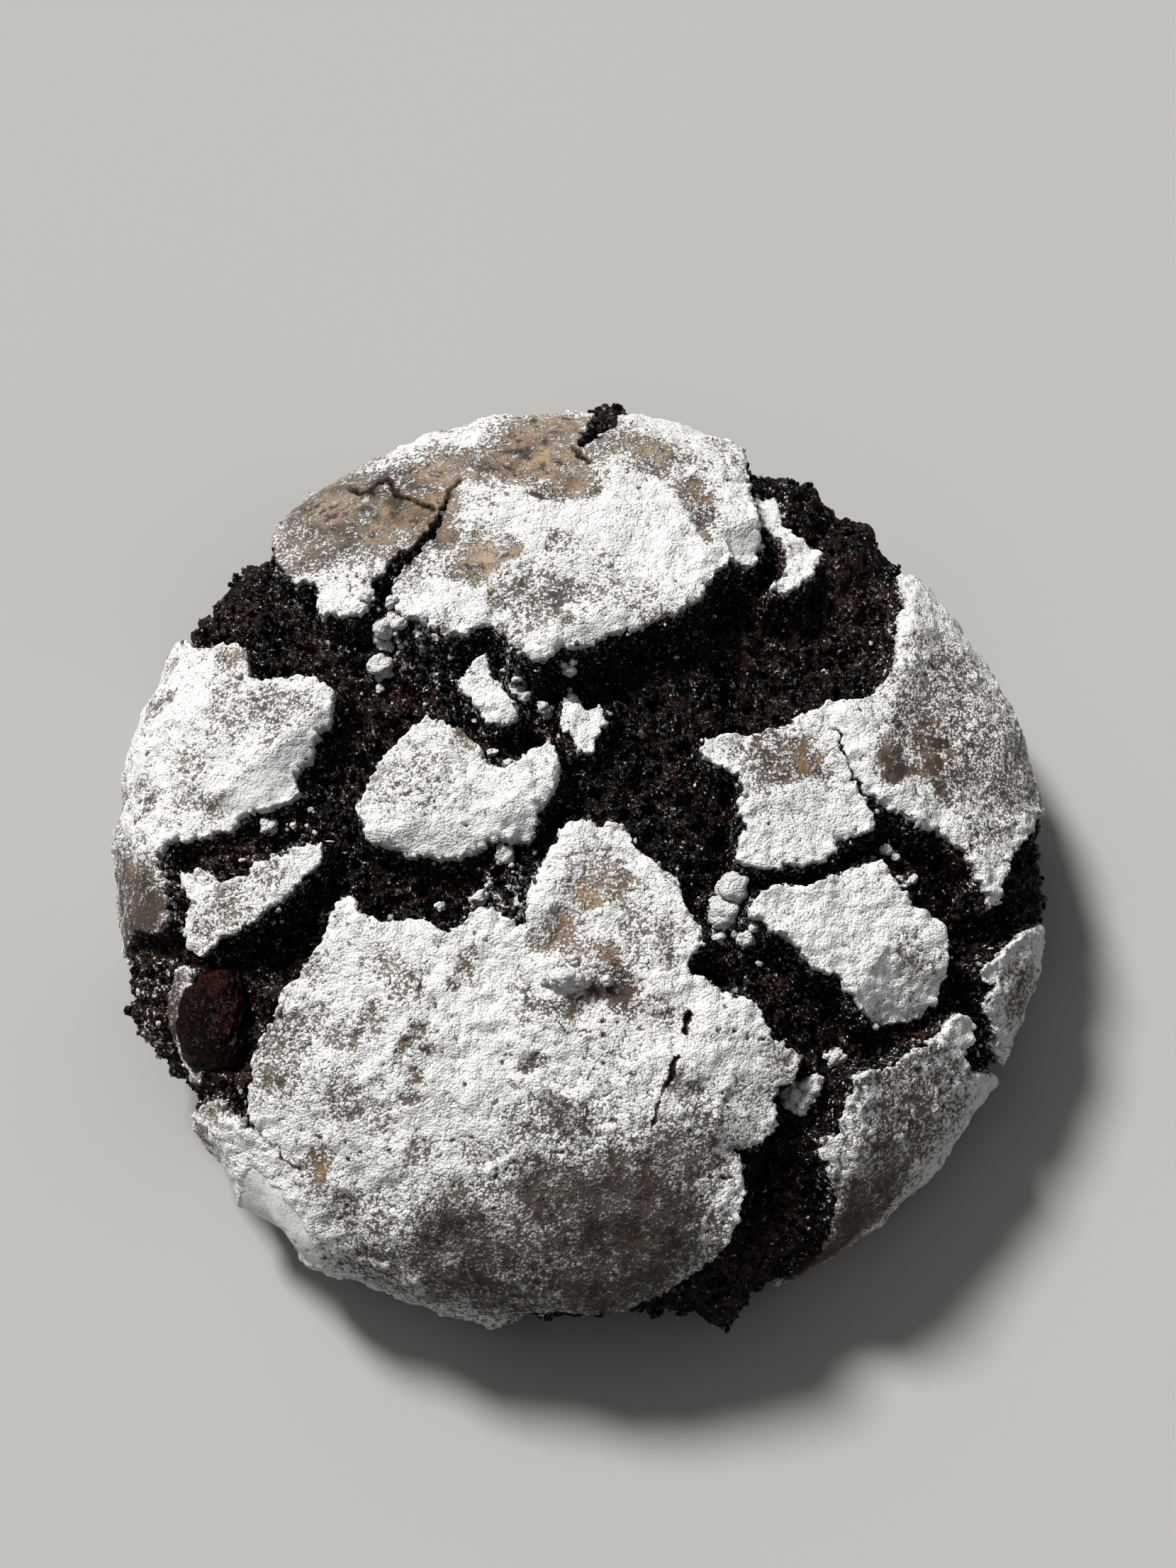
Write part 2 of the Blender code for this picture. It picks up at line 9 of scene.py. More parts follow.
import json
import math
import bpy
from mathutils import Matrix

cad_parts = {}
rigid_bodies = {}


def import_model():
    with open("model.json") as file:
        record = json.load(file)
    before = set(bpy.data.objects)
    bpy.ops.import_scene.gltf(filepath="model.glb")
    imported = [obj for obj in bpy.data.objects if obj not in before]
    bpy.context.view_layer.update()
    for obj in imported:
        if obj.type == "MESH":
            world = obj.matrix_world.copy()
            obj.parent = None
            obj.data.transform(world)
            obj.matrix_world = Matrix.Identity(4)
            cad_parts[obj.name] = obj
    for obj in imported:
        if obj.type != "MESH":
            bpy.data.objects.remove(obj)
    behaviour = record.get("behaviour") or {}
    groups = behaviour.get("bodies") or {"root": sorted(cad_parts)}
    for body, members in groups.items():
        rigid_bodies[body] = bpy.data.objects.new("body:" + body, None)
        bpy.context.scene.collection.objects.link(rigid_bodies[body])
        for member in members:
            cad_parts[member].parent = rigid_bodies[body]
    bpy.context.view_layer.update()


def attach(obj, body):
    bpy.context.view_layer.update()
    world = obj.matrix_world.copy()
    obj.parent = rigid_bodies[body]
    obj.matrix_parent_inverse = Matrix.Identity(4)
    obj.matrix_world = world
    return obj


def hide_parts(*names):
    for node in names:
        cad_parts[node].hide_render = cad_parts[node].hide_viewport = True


bl_info = {
    "name": "Chocolate Crinkle Cookie",
    "version": (1, 0, 0),
    "blender": (4, 5, 0),
    "location": "3D View > Sidebar > Cookie",
    "description": "Dresses the cookie in sugared crust plates, crumb, sugar lumps and a chip",
    "category": "Object",
}

import bpy
import numpy as np
from bpy.props import FloatProperty, FloatVectorProperty, IntProperty, PointerProperty
from mathutils import Vector
from mathutils.geometry import delaunay_2d_cdt

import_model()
MM = 0.001

# ---------------------------------------------------------------- the cookie's plan, in mm

HEIGHT = 22.0
BULGE_RADIUS = 40.0
BULGE_HEIGHT = 7.0
BASE_RADIUS = 36.5
DOME_POWER = 2.6                 # of the superellipse: 2 is an ellipse, more is squarer
PLAN_RADII = (40.0, 39.8, 41.3, 43.5, 42.6, 41.2, 40.0, 38.8, 39.2, 39.0, 39.2, 38.8)
AXIS_PLACE = (0.0, -2.5)
SHOULDER_RUN, SHOULDER_REACH = 28.0, 14.0   # where the dome turns down to its side
BASE_CLEARANCE = 0.03                       # of every piece above the plane of the base

# The crust's plates: the corners of each outline in the skin, which a smooth curve joins.
# A plate with several outlines is their union.
PLATES = {
    "crown": [[
        (-15.0, 20.2), (-14.7, 17.0), (-12.8, 16.0), (-10.0, 14.8), (-7.7, 15.3), (-5.6, 14.5),
        (-4.4, 12.5), (-2.4, 12.4), (0.0, 13.2), (3.0, 14.7), (5.2, 15.4), (7.7, 17.2), (9.1, 17.7),
        (9.8, 19.4), (12.1, 22.8), (15.0, 24.3), (14.9, 28.0), (14.1, 31.0), (14.2, 39.0),
        (11.5, 43.5), (7.2, 46.0), (5.0, 42.5), (2.7, 36.2), (1.4, 34.6), (-0.5, 33.2), (0.4, 36.2),
        (0.6, 40.5), (-2.0, 45.5), (-8.5, 48.0), (-17.5, 43.5), (-24.0, 36.0), (-26.5, 29.0),
        (-25.4, 24.0), (-23.8, 21.8), (-21.6, 21.2), (-21.4, 18.4), (-19.6, 17.6), (-17.6, 18.2),
        (-16.8, 21.0), (-13.4, 24.2), (-10.9, 28.4), (-11.5, 25.2), (-13.0, 22.7),
    ]],
    "left": [[
        (-36.6, 20.3), (-34.6, 19.0), (-32.8, 17.3), (-28.8, 16.5), (-28.1, 14.4), (-27.3, 12.9),
        (-22.3, 12.6), (-20.4, 10.6), (-20.6, 8.8), (-23.2, 5.2), (-24.3, 3.9), (-24.1, 2.4),
        (-28.9, 1.0), (-29.8, -0.2), (-32.6, -1.1), (-35.2, -0.9), (-36.2, -2.2), (-36.2, -7.4),
        (-37.8, -8.6), (-40.4, -7.6), (-44.5, -9.0), (-58.0, -6.0), (-58.0, 12.0), (-46.0, 23.5),
        (-40.0, 21.6),
    ]],
    "chip_rim": [[
        (-34.6, -12.4), (-33.4, -12.9), (-34.6, -14.2), (-35.6, -15.4), (-36.0, -18.4),
        (-35.2, -21.2), (-37.2, -23.2), (-39.2, -21.2), (-39.5, -19.0), (-38.6, -16.4),
        (-37.0, -13.8), (-35.8, -12.4),
    ]],
    "handle": [[
        (-21.8, -2.5), (-23.9, -2.6), (-25.6, -3.5), (-27.9, -3.8), (-28.6, -5.1), (-31.0, -5.0),
        (-32.2, -4.0), (-34.7, -4.2), (-33.8, -7.0), (-34.5, -9.6), (-33.2, -11.2), (-31.3, -10.8),
        (-26.2, -7.8), (-22.6, -4.8),
    ]],
    "kidney": [[
        (-1.8, 3.7), (-2.7, 5.2), (-5.4, 3.6), (-7.2, 3.9), (-10.2, 7.0), (-12.8, 7.5),
        (-14.8, 6.4), (-17.3, 3.1), (-18.4, 0.2), (-17.9, -2.2), (-15.4, -3.6), (-12.0, -4.2),
        (-9.6, -3.9), (-7.3, -2.7), (-4.4, -2.9), (-3.7, -0.6), (-1.9, 1.8),
    ]],
    "oval": [[
        (-7.8, 13.7), (-9.6, 11.6), (-8.8, 9.4), (-6.9, 7.2), (-5.2, 8.1), (-5.6, 9.6),
        (-7.2, 11.8),
    ]],
    "heart": [[
        (-1.4, 9.1), (-1.5, 8.0), (-1.1, 6.4), (0.2, 4.7), (0.7, 5.0), (1.3, 6.9), (2.0, 8.4),
        (1.4, 9.0), (0.2, 8.7),
    ]],
    "front": [
        [
            (-0.7, -1.6), (0.4, -1.4), (1.2, -1.9), (3.2, -1.4), (4.5, -4.0), (6.4, -5.2),
            (7.9, -7.0), (8.2, -9.3), (9.8, -11.3), (8.6, -13.8), (9.0, -16.5), (9.0, -27.0),
            (12.5, -29.5), (13.2, -32.0), (11.6, -37.5), (8.2, -40.6), (5.2, -43.0), (0.0, -44.0),
            (-5.0, -44.3), (-11.0, -50.0), (-22.0, -50.0), (-26.5, -44.0), (-24.6, -36.0),
            (-24.4, -31.0), (-28.2, -26.0), (-28.3, -21.8), (-25.6, -17.4), (-25.2, -16.0),
            (-21.4, -11.4), (-20.9, -9.2), (-19.8, -7.8), (-17.6, -9.9), (-13.4, -10.3),
            (-11.3, -11.5), (-8.2, -9.0), (-5.0, -10.9), (-4.4, -7.6), (-2.4, -3.6),
        ],
        [
            (7.0, -15.0), (11.5, -16.2), (13.9, -17.4), (16.1, -20.3), (18.0, -21.4),
            (17.4, -22.8), (15.4, -24.8), (16.1, -26.2), (15.2, -28.0), (12.0, -29.2),
            (8.0, -28.0), (7.0, -22.0),
        ],
        [
            (-24.3, -29.9), (-27.6, -27.5), (-30.4, -25.8), (-32.8, -24.4), (-37.0, -25.4),
            (-41.0, -28.0), (-47.0, -36.0), (-32.0, -48.0), (-20.0, -52.0), (-22.0, -38.0),
        ],
    ],
    "right": [[
        (30.0, 26.6), (28.3, 24.3), (28.4, 21.5), (27.5, 19.0), (27.0, 15.2), (25.7, 12.2),
        (23.4, 10.4), (21.2, 10.1), (19.8, 8.8), (21.5, 7.2), (21.6, 5.4), (23.4, 2.0),
        (27.0, -0.6), (31.0, -1.9), (33.2, -4.2), (34.6, -7.0), (35.7, -6.2), (35.8, -3.8),
        (38.2, -0.4), (41.4, 3.0), (46.5, 6.0), (54.0, 11.0), (50.0, 20.0), (44.0, 27.0),
        (37.0, 29.5), (33.0, 28.0),
    ]],
    "star": [[
        (9.8, 5.0), (10.8, 6.2), (15.1, 6.9), (17.4, 8.2), (20.0, 8.9), (21.2, 7.1),
        (21.3, 5.3), (22.5, 2.6), (24.2, -1.3), (21.5, -2.3), (20.3, -4.3), (16.9, -5.1),
        (13.3, -5.3), (13.3, -1.6), (12.8, -0.2), (13.0, 1.8), (11.2, 3.8),
    ]],
    "fish": [[
        (13.8, -9.4), (16.7, -7.0), (19.5, -7.0), (22.2, -5.1), (24.9, -4.5), (26.3, -6.7),
        (30.0, -9.4), (30.9, -12.6), (30.9, -14.6), (29.3, -17.4), (24.5, -18.3), (22.9, -16.9),
        (21.5, -14.8), (18.9, -14.1), (16.8, -11.8),
    ]],
    "southeast": [[
        (32.2, -17.0), (34.3, -18.0), (33.6, -20.8), (35.4, -22.0), (41.0, -22.5), (44.0, -27.0),
        (36.0, -38.0), (26.0, -47.0), (20.5, -46.5), (21.6, -40.0), (21.8, -33.5), (20.8, -31.0),
        (19.8, -28.2), (21.4, -27.3), (21.9, -24.4), (23.4, -22.3), (25.6, -22.3), (28.4, -20.3),
        (30.4, -19.3),
    ]],
    "far_east": [[
        (41.5, -7.6), (38.0, -9.6), (34.7, -13.0), (36.3, -14.1), (35.4, -15.4), (36.6, -17.2),
        (38.6, -19.8), (44.0, -20.0), (50.0, -14.0), (49.0, -8.0),
    ]],
    "north_east": [[
        (14.5, 32.0), (17.2, 33.1), (18.1, 31.5), (17.7, 29.0), (19.4, 27.3), (21.1, 26.8),
        (20.4, 24.4), (18.8, 22.3), (16.4, 21.2), (17.9, 24.2), (17.2, 26.8), (15.4, 29.2),
    ]],
    "back": [[
        (13.5, 47.5), (20.0, 42.0), (27.0, 38.0), (31.0, 36.5), (34.0, 39.0), (30.0, 46.0),
        (20.0, 51.0),
    ]],
}

# How far each plate's middle stands out from the skin, and how thick its broken edge is.
LIFT = {
    "crown": 0.9, "left": 0.3, "handle": -0.4, "kidney": 0.3, "oval": -0.7, "heart": -1.0,
    "front": 0.5, "right": 0.3, "star": 0.2, "fish": 0.6, "southeast": 0.2, "far_east": 0.0,
    "north_east": -0.9, "chip_rim": -0.5, "back": 0.2,
}
THICKNESS = {
    "crown": 1.2, "left": 1.6, "handle": 1.0, "kidney": 1.8, "oval": 1.1, "heart": 1.0,
    "front": 1.1, "right": 1.1, "star": 1.2, "fish": 1.6, "southeast": 1.0, "far_east": 0.9,
    "north_east": 0.9, "chip_rim": 0.7, "back": 0.9,
}

# Folds of the crust: a plate, a chain of lines, the slope and reach at which the plate falls
# away to the right of all of them, and how smooth it is there. Ridges: a plate, a line, and the
# height and half-width of its crest.
FOLDS = [
    ("fish", [(22.2, -16.6), (25.4, -11.8), (32.4, -15.2)], 0.60, 4.0, 0.0),
    ("kidney", [(-20.0, -2.6), (-2.0, 0.6)], 0.30, 4.0, 0.0),
    ("left", [(-31.5, 1.8), (-20.6, 9.4)], 0.55, 3.0, 0.6),
    ("crown", [(11.6, 25.4), (15.4, 27.6)], 0.80, 2.0, 0.6),
    ("front", [(-37.0, -37.8), (-29.2, -29.0), (-25.8, -31.4), (-23.5, -34.0), (-22.8, -38.2)],
     0.22, 6.5, 1.0),
    ("front", [(10.0, -29.5), (13.4, -18.5)], 0.22, 6.0, 0.3),
]
RIDGES = [
    ("front", (-31.5, -34.0), (-25.5, -38.2), 1.6, 6.5),
    ("front", (-3.5, -9.0), (-0.5, -3.0), 0.7, 4.0),
    ("front", (-18.8, -10.0), (-13.0, -20.0), 0.6, 4.0),
    ("front", (10.0, -18.5), (8.8, -22.6), 0.7, 3.0),
    ("left", (-27.0, 5.0), (-24.0, 7.2), 0.4, 3.0),
    ("right", (22.6, 8.0), (27.8, 0.2), 0.7, 2.2),
    ("right", (27.5, 11.5), (30.0, 24.0), 0.5, 2.5),
    ("crown", (-2.0, 14.2), (9.0, 19.2), 0.5, 2.5),
    ("kidney", (-6.0, -1.0), (-2.8, 2.8), 0.4, 2.2),
]

# Where the bare crust is browner: place, radius, amount.
RUST = [
    (-1.6, -11.6, 3.0, 1.0), (0.4, -8.2, 2.4, 0.8), (0.2, -13.8, 3.0, 1.0), (3.0, -16.4, 3.2, 1.0),
    (-22.4, -29.7, 2.2, 1.0), (-9.3, -14.4, 1.2, 0.8), (-13.6, -22.0, 3.0, 0.6),
    (28.5, 7.5, 4.0, 0.7), (18.5, 4.4, 2.4, 0.8), (15.0, 5.0, 1.5, 0.6), (9.8, 28.0, 2.5, 0.6),
    (-3.0, 31.0, 5.0, 0.3), (-12.5, 26.5, 4.0, 0.5), (-41.5, -3.0, 4.0, 0.3),
]

# How far the crumb lies below the skin on the dome and at the bulge; the size, height and seed
# of each noise of its relief, of its clefts and of its pores; and its knobs and dips: place,
# radius, height.
CRUMB_DEPTH = 3.0
CRUMB_DEPTH_SIDE = 0.9
CRUMB_WAVES = ((6.5, 0.85, 53), (3.1, 0.60, 54), (1.6, 0.36, 55), (0.85, 0.21, 56),
               (0.48, 0.10, 57))
CRUMB_CLEFTS = ((4.6, 0.7, 48), (2.4, 0.35, 49))
CRUMB_PORES = ((2.6, 1.2, 59), (1.3, 0.6, 46))
KNOBS = [
    (2.6, 42.0, 3.2, 2.4), (20.0, 35.0, 4.0, 2.2), (25.5, 30.5, 3.5, 1.6), (-33.5, 21.5, 2.2, 1.4),
    (13.5, -46.5, 3.0, 2.6), (-41.5, -15.0, 3.5, 1.6), (42.5, -3.5, 3.0, 1.2),
    (-40.5, -20.5, 3.0, 0.9), (13.0, 16.0, 6.0, -1.4), (21.0, 18.0, 5.0, -1.2),
    (-27.0, -12.0, 4.5, -1.6), (33.0, -10.0, 4.0, -1.2), (16.0, -33.0, 4.0, -1.4),
    (-7.0, -6.5, 3.0, 0.8), (-29.8, -2.4, 2.6, 1.3), (-26.9, -15.2, 1.5, 1.8),
    (-29.6, -22.8, 1.0, 1.6), (-16.4, 19.2, 2.4, 1.9), (-13.8, 22.6, 2.0, 1.4),
    (-11.8, 26.5, 1.4, 1.0), (-20.5, 14.8, 3.2, 1.3), (-25.5, 19.0, 3.0, 1.0),
    (-9.0, 12.5, 3.0, 0.8),
]

# The coat of sugar, what it loses towards the foot, and how dark the crust has baked under it.
FULL_COAT = 1.34
FOOT_LOSS = 0.8
PLAIN_BAKE = 0.5

# Where the crust shows through the sugar: place, radius, how much sugar is left there (1 hides
# the crust), and how dark the crust has baked (0 is tan).
THIN = [
    # the crown's north-west lobe: tan, with white grains and dark blotches
    (-17.5, 27.0, 7.5, 0.22, 0.72), (-22.5, 27.5, 4.5, 0.32, 0.75), (-22.0, 31.5, 4.5, 0.22, 0.66),
    (-25.0, 25.0, 2.5, 0.56, 0.65), (-13.6, 26.8, 2.4, 0.10, 0.42), (-16.5, 25.0, 1.6, 0.14, 0.52),
    (-20.5, 29.5, 1.8, 0.22, 0.30), (-22.2, 23.6, 1.3, 0.25, 0.60), (-17.0, 23.0, 2.0, 0.60, 0.60),
    (-15.0, 28.7, 0.9, 0.20, 1.10), (-13.3, 31.0, 0.9, 0.20, 1.00), (-17.0, 32.6, 0.9, 0.20, 1.00),
    (-16.8, 26.4, 0.7, 0.20, 1.00), (-19.5, 26.0, 0.6, 0.30, 0.90), (-20.0, 19.6, 2.8, 1.30, 0.50),
    # the crown's top: a white band, tan below and beyond it, dark blotches
    (-13.0, 36.0, 2.7, 1.20, 0.50), (-9.0, 36.8, 2.7, 1.25, 0.50), (-16.2, 34.2, 1.4, 0.95, 0.50),
    (-5.8, 38.6, 1.5, 0.95, 0.50), (-19.0, 38.0, 3.0, 0.55, 0.40), (-12.0, 41.5, 3.0, 0.50, 0.45),
    (-3.5, 41.5, 3.0, 0.55, 0.45), (-3.2, 33.0, 4.6, 0.14, 0.28), (-7.2, 32.0, 2.4, 0.24, 0.46),
    (-11.5, 32.2, 2.2, 0.24, 0.46), (-4.0, 36.6, 2.8, 0.26, 0.40), (-1.0, 37.6, 2.2, 0.26, 0.45),
    (-5.2, 33.0, 0.7, 0.15, 1.10), (-3.6, 31.2, 0.6, 0.15, 1.00), (-1.5, 31.8, 0.5, 0.15, 1.10),
    (-3.2, 34.2, 0.5, 0.15, 1.00), (-8.0, 31.2, 0.7, 0.20, 1.00), (-6.2, 31.6, 0.5, 0.15, 1.00),
    (-5.9, 33.6, 0.4, 0.15, 1.10), (-2.2, 36.3, 0.5, 0.20, 0.90), (-3.3, 27.6, 0.8, 0.25, 1.10),
    (-1.8, 28.3, 0.9, 0.30, 0.90), (0.6, 28.0, 0.8, 0.30, 0.90), (-0.5, 29.4, 1.6, 0.35, 0.45),
    (-10.7, 27.5, 1.2, 0.32, 0.35), (-10.9, 24.5, 1.4, 0.28, 0.45), (-10.5, 30.0, 1.4, 0.30, 0.35),
    (-13.0, 24.6, 0.9, 0.30, 0.60),
    # the crown's bare tan spot and the speckled places below it
    (-8.0, 21.6, 2.0, 0.04, 0.00), (-5.6, 22.5, 1.0, 0.10, 0.05), (-9.2, 20.3, 0.9, 0.32, 0.70),
    (-6.6, 22.2, 0.3, 0.00, 0.90), (-3.6, 17.4, 3.4, 0.60, 0.74), (-0.8, 18.2, 1.3, 0.42, 0.90),
    (-1.2, 15.5, 0.9, 0.42, 0.95), (-1.5, 22.3, 1.4, 0.70, 0.60), (2.0, 20.2, 1.6, 0.75, 0.60),
    (1.5, 17.8, 1.6, 0.75, 0.60), (5.2, 17.3, 1.8, 0.78, 0.60), (-8.0, 14.6, 1.0, 0.30, 0.95),
    (-6.5, 14.2, 1.0, 0.35, 0.95), (-11.0, 15.2, 1.2, 0.62, 0.80),
    # the crown's east side
    (2.5, 34.5, 2.6, 0.52, 0.45), (5.2, 33.4, 1.7, 0.42, 0.45), (6.5, 32.7, 1.4, 0.50, 0.50),
    (4.5, 31.2, 1.2, 0.60, 0.70), (8.8, 33.2, 1.2, 0.55, 0.60), (10.0, 32.2, 0.8, 0.55, 0.80),
    (9.2, 29.6, 1.2, 0.36, 0.50), (9.8, 28.2, 1.2, 0.36, 0.60), (10.2, 26.6, 1.3, 0.28, 0.95),
    (8.4, 28.0, 0.9, 0.60, 0.90), (10.2, 24.8, 1.0, 0.48, 0.70), (6.6, 31.2, 1.2, 0.50, 0.60),
    (12.5, 33.0, 1.6, 0.86, 0.80), (11.5, 37.0, 2.0, 0.80, 0.70), (6.2, 34.0, 1.7, 0.28, 0.40),
    (13.5, 25.2, 1.6, 0.85, 0.60),
    # the left plate: grey speckle on top, brown towards its foot
    (-29.5, 12.2, 1.8, 0.66, 0.65), (-26.0, 9.6, 2.6, 0.62, 0.80), (-22.5, 9.8, 1.5, 0.68, 0.70),
    (-29.6, 8.8, 1.8, 0.66, 0.75), (-26.8, 7.6, 1.2, 0.70, 0.70), (-33.4, 5.6, 1.7, 0.64, 0.70),
    (-32.4, 3.2, 1.4, 0.62, 0.70), (-31.2, 1.2, 1.5, 0.46, 0.60), (-34.0, 2.0, 1.5, 0.74, 0.60),
    (-36.0, 13.6, 1.0, 0.45, 0.55), (-38.2, 12.6, 1.4, 0.52, 0.55), (-37.0, 17.2, 1.6, 0.66, 0.60),
    (-30.5, 15.8, 1.4, 0.72, 0.50), (-28.6, 15.4, 1.0, 0.55, 0.50), (-38.8, 5.0, 1.4, 0.56, 0.60),
    (-37.2, 3.2, 0.9, 0.60, 0.60), (-44.5, 6.0, 3.0, 0.40, 0.60), (-43.0, -3.0, 4.6, 0.28, 0.82),
    (-38.6, -4.5, 3.2, 0.36, 0.90), (-39.2, -7.6, 2.5, 0.26, 0.96), (-41.0, 9.2, 0.6, 0.10, 1.20),
    (-37.3, -7.4, 1.7, 0.20, 1.00), (-42.5, -8.5, 2.5, 0.26, 0.95), (-28.0, 5.2, 2.6, 1.25, 0.50),
    (-34.5, 9.0, 2.0, 1.10, 0.50),
    # the handle and the kidney
    (-30.0, -7.2, 2.4, 0.66, 0.60), (-26.2, -5.0, 1.6, 0.76, 0.60), (-32.0, -9.0, 2.0, 0.60, 0.60),
    (-12.6, 3.6, 3.0, 0.90, 0.60), (-14.5, 0.6, 2.2, 0.90, 0.60), (-9.2, 6.0, 1.2, 0.34, 0.60),
    (-7.0, 4.4, 1.0, 0.62, 0.90), (-12.6, 0.0, 0.8, 0.72, 0.80),
    # the front plate's raised tongue: tan on its right side, toasted below
    (1.6, -5.6, 2.2, 0.66, 0.30), (0.3, -8.2, 1.5, 0.42, 0.12), (3.2, -7.6, 1.6, 0.42, 0.52),
    (-1.6, -11.6, 2.0, 0.38, 0.10), (-0.9, -13.2, 1.2, 0.48, 0.22), (-3.2, -12.6, 1.0, 0.60, 0.50),
    (4.4, -10.6, 1.6, 0.58, 0.80), (7.2, -11.3, 1.3, 0.52, 0.60), (7.6, -13.3, 0.9, 0.56, 0.90),
    (7.0, -6.8, 0.9, 0.62, 0.50), (1.6, -13.4, 1.4, 0.46, 0.35), (4.6, -13.0, 1.4, 0.66, 0.60),
    (2.8, -14.8, 1.4, 0.38, 0.60), (2.6, -16.6, 1.7, 0.22, 0.95), (0.6, -16.4, 1.2, 0.26, 0.95),
    (4.4, -17.2, 1.1, 0.40, 0.90), (-1.2, -17.6, 1.5, 0.44, 0.80), (-3.6, -18.0, 1.2, 0.58, 0.80),
    (-5.0, -16.0, 1.0, 0.72, 0.70), (6.5, -18.0, 1.5, 0.70, 0.60),
    # the ledge below the tongue, with pressed sugar along its lip
    (-2.5, -15.6, 0.7, 1.45, 0.30), (-1.5, -15.7, 0.7, 1.45, 0.30), (-0.5, -15.6, 0.6, 1.45, 0.30),
    # the front plate's middle and left
    (-20.0, -24.5, 2.6, 0.70, 0.70), (-15.0, -16.0, 1.8, 0.72, 0.65),
    (-22.5, -18.0, 2.0, 0.76, 0.65), (-9.3, -14.4, 0.9, 0.42, 0.60), (-8.8, -12.9, 0.6, 0.52, 0.80),
    (-10.8, -16.2, 0.6, 0.50, 0.70), (-12.2, -17.4, 0.6, 0.50, 0.80),
    (-13.6, -19.6, 0.8, 0.42, 0.75), (-14.4, -21.0, 1.2, 0.45, 0.80),
    (-12.6, -21.2, 0.6, 0.50, 0.90), (-13.6, -23.2, 1.0, 0.45, 0.50),
    (-13.8, -25.0, 1.0, 0.50, 0.80), (-16.5, -13.5, 1.3, 0.58, 0.60),
    (-17.5, -18.0, 1.5, 0.60, 0.60), (-19.5, -19.5, 1.6, 0.56, 0.70),
    (-26.0, -22.0, 3.0, 0.54, 0.75), (-22.5, -14.0, 1.2, 0.60, 0.40),
    (-22.3, -29.8, 1.6, 0.34, 0.40), (-20.5, -33.5, 2.2, 0.74, 0.80),
    (-24.0, -19.0, 2.0, 0.70, 0.70), (-25.6, -18.6, 0.9, 0.40, 0.80),
    (-4.0, -22.3, 0.7, 0.50, 0.80), (-6.5, -22.0, 0.4, 0.55, 0.90), (-5.5, -23.8, 0.4, 0.40, 0.20),
    (-2.6, -25.6, 1.3, 0.52, 1.05), (-1.0, -27.0, 1.6, 0.50, 1.00), (-15.0, -30.0, 1.5, 0.76, 0.80),
    (-13.0, -29.0, 1.1, 0.62, 0.80), (-8.5, -29.5, 1.2, 0.76, 0.80),
    (-16.5, -26.0, 1.4, 0.72, 0.80), (8.4, -24.2, 1.4, 0.66, 0.90), (9.5, -26.6, 1.4, 0.58, 0.90),
    (2.5, -22.5, 2.5, 0.92, 0.60), (-5.0, -27.0, 2.2, 0.86, 0.70),
    # the front plate's right lobe: greyer towards its right end
    (14.6, -24.5, 3.0, 0.68, 0.80), (16.2, -21.4, 1.4, 0.28, 0.95), (15.6, -24.4, 1.4, 0.52, 0.90),
    (13.0, -27.5, 2.2, 0.60, 0.90), (11.0, -29.0, 1.8, 0.52, 0.90),
    # the front plate's foot: a thin grey coat, also thinned and darkened as painted shade
    (2.0, -38.0, 10.5, 0.41, 1.04), (-10.0, -40.0, 7.5, 0.49, 1.00),
    (-17.5, -39.0, 5.5, 0.64, 0.92), (6.5, -32.0, 4.0, 0.46, 1.02), (-3.0, -32.5, 3.0, 0.50, 1.02),
    (4.0, -35.0, 4.5, 0.36, 1.06), (-15.5, -34.6, 1.6, 0.90, 0.80), (8.5, -29.0, 2.5, 0.58, 0.98),
    (-11.0, -36.0, 3.5, 0.48, 1.02),
    # the right plate: bright along its left, toasted in its middle
    (35.5, 10.0, 7.0, 0.66, 0.80), (32.0, 15.0, 3.6, 0.56, 0.75), (40.0, 8.0, 5.0, 0.66, 0.75),
    (28.6, 9.0, 3.2, 0.48, 0.75), (27.4, 12.4, 1.4, 0.62, 0.70), (30.6, 4.6, 3.0, 0.46, 0.75),
    (26.0, 5.6, 1.2, 0.30, 0.90), (25.7, 3.4, 1.4, -0.35, 1.15), (27.6, 4.2, 0.9, 0.22, 0.90),
    (26.7, 3.0, 0.5, 0.00, 0.40), (29.2, 5.0, 1.2, 0.28, 0.75), (28.8, 7.6, 1.3, 0.32, 0.75),
    (26.6, 7.6, 0.9, 0.34, 0.80), (30.2, 5.6, 0.5, -0.10, 1.15), (29.6, 3.2, 0.6, 0.10, 1.00),
    (30.0, 2.4, 0.9, 0.20, 0.90), (31.0, 7.0, 0.9, 0.30, 0.90), (27.6, 2.4, 1.4, 0.95, 0.60),
    (33.5, -1.0, 2.4, 0.80, 0.80), (36.5, 3.0, 3.0, 0.55, 0.85), (24.4, 9.4, 1.6, 1.10, 0.50),
    (17.0, 4.2, 3.3, 0.56, 0.75), (18.6, 4.4, 1.5, 0.26, 0.55), (15.4, 4.8, 1.2, 0.34, 0.85),
    (17.0, 2.6, 1.1, 0.40, 0.85), (20.0, 3.4, 0.9, 0.36, 0.80), (12.6, 5.2, 1.0, 0.60, 0.80),
    (15.0, 1.0, 1.6, 0.80, 0.60), (14.6, 3.0, 0.8, 0.45, 0.90),
    # the fish and the plates of the south-east, thinned and darkened partly as painted shade
    (28.0, -13.0, 2.2, 0.66, 0.80), (28.5, -26.0, 6.5, 0.52, 0.88), (25.5, -34.0, 5.0, 0.32, 0.95),
    (22.0, -40.0, 5.0, 0.14, 1.00), (40.5, -14.0, 4.0, 0.54, 0.80),
    # the rim beside the chip: toasted, with a few grey spots
    (-37.0, -17.5, 5.4, 0.26, 0.92), (-38.2, -19.4, 0.9, 0.70, 0.60),
    (-38.0, -16.6, 0.7, 0.50, 0.60), (-37.4, -21.8, 1.0, 0.70, 0.60),
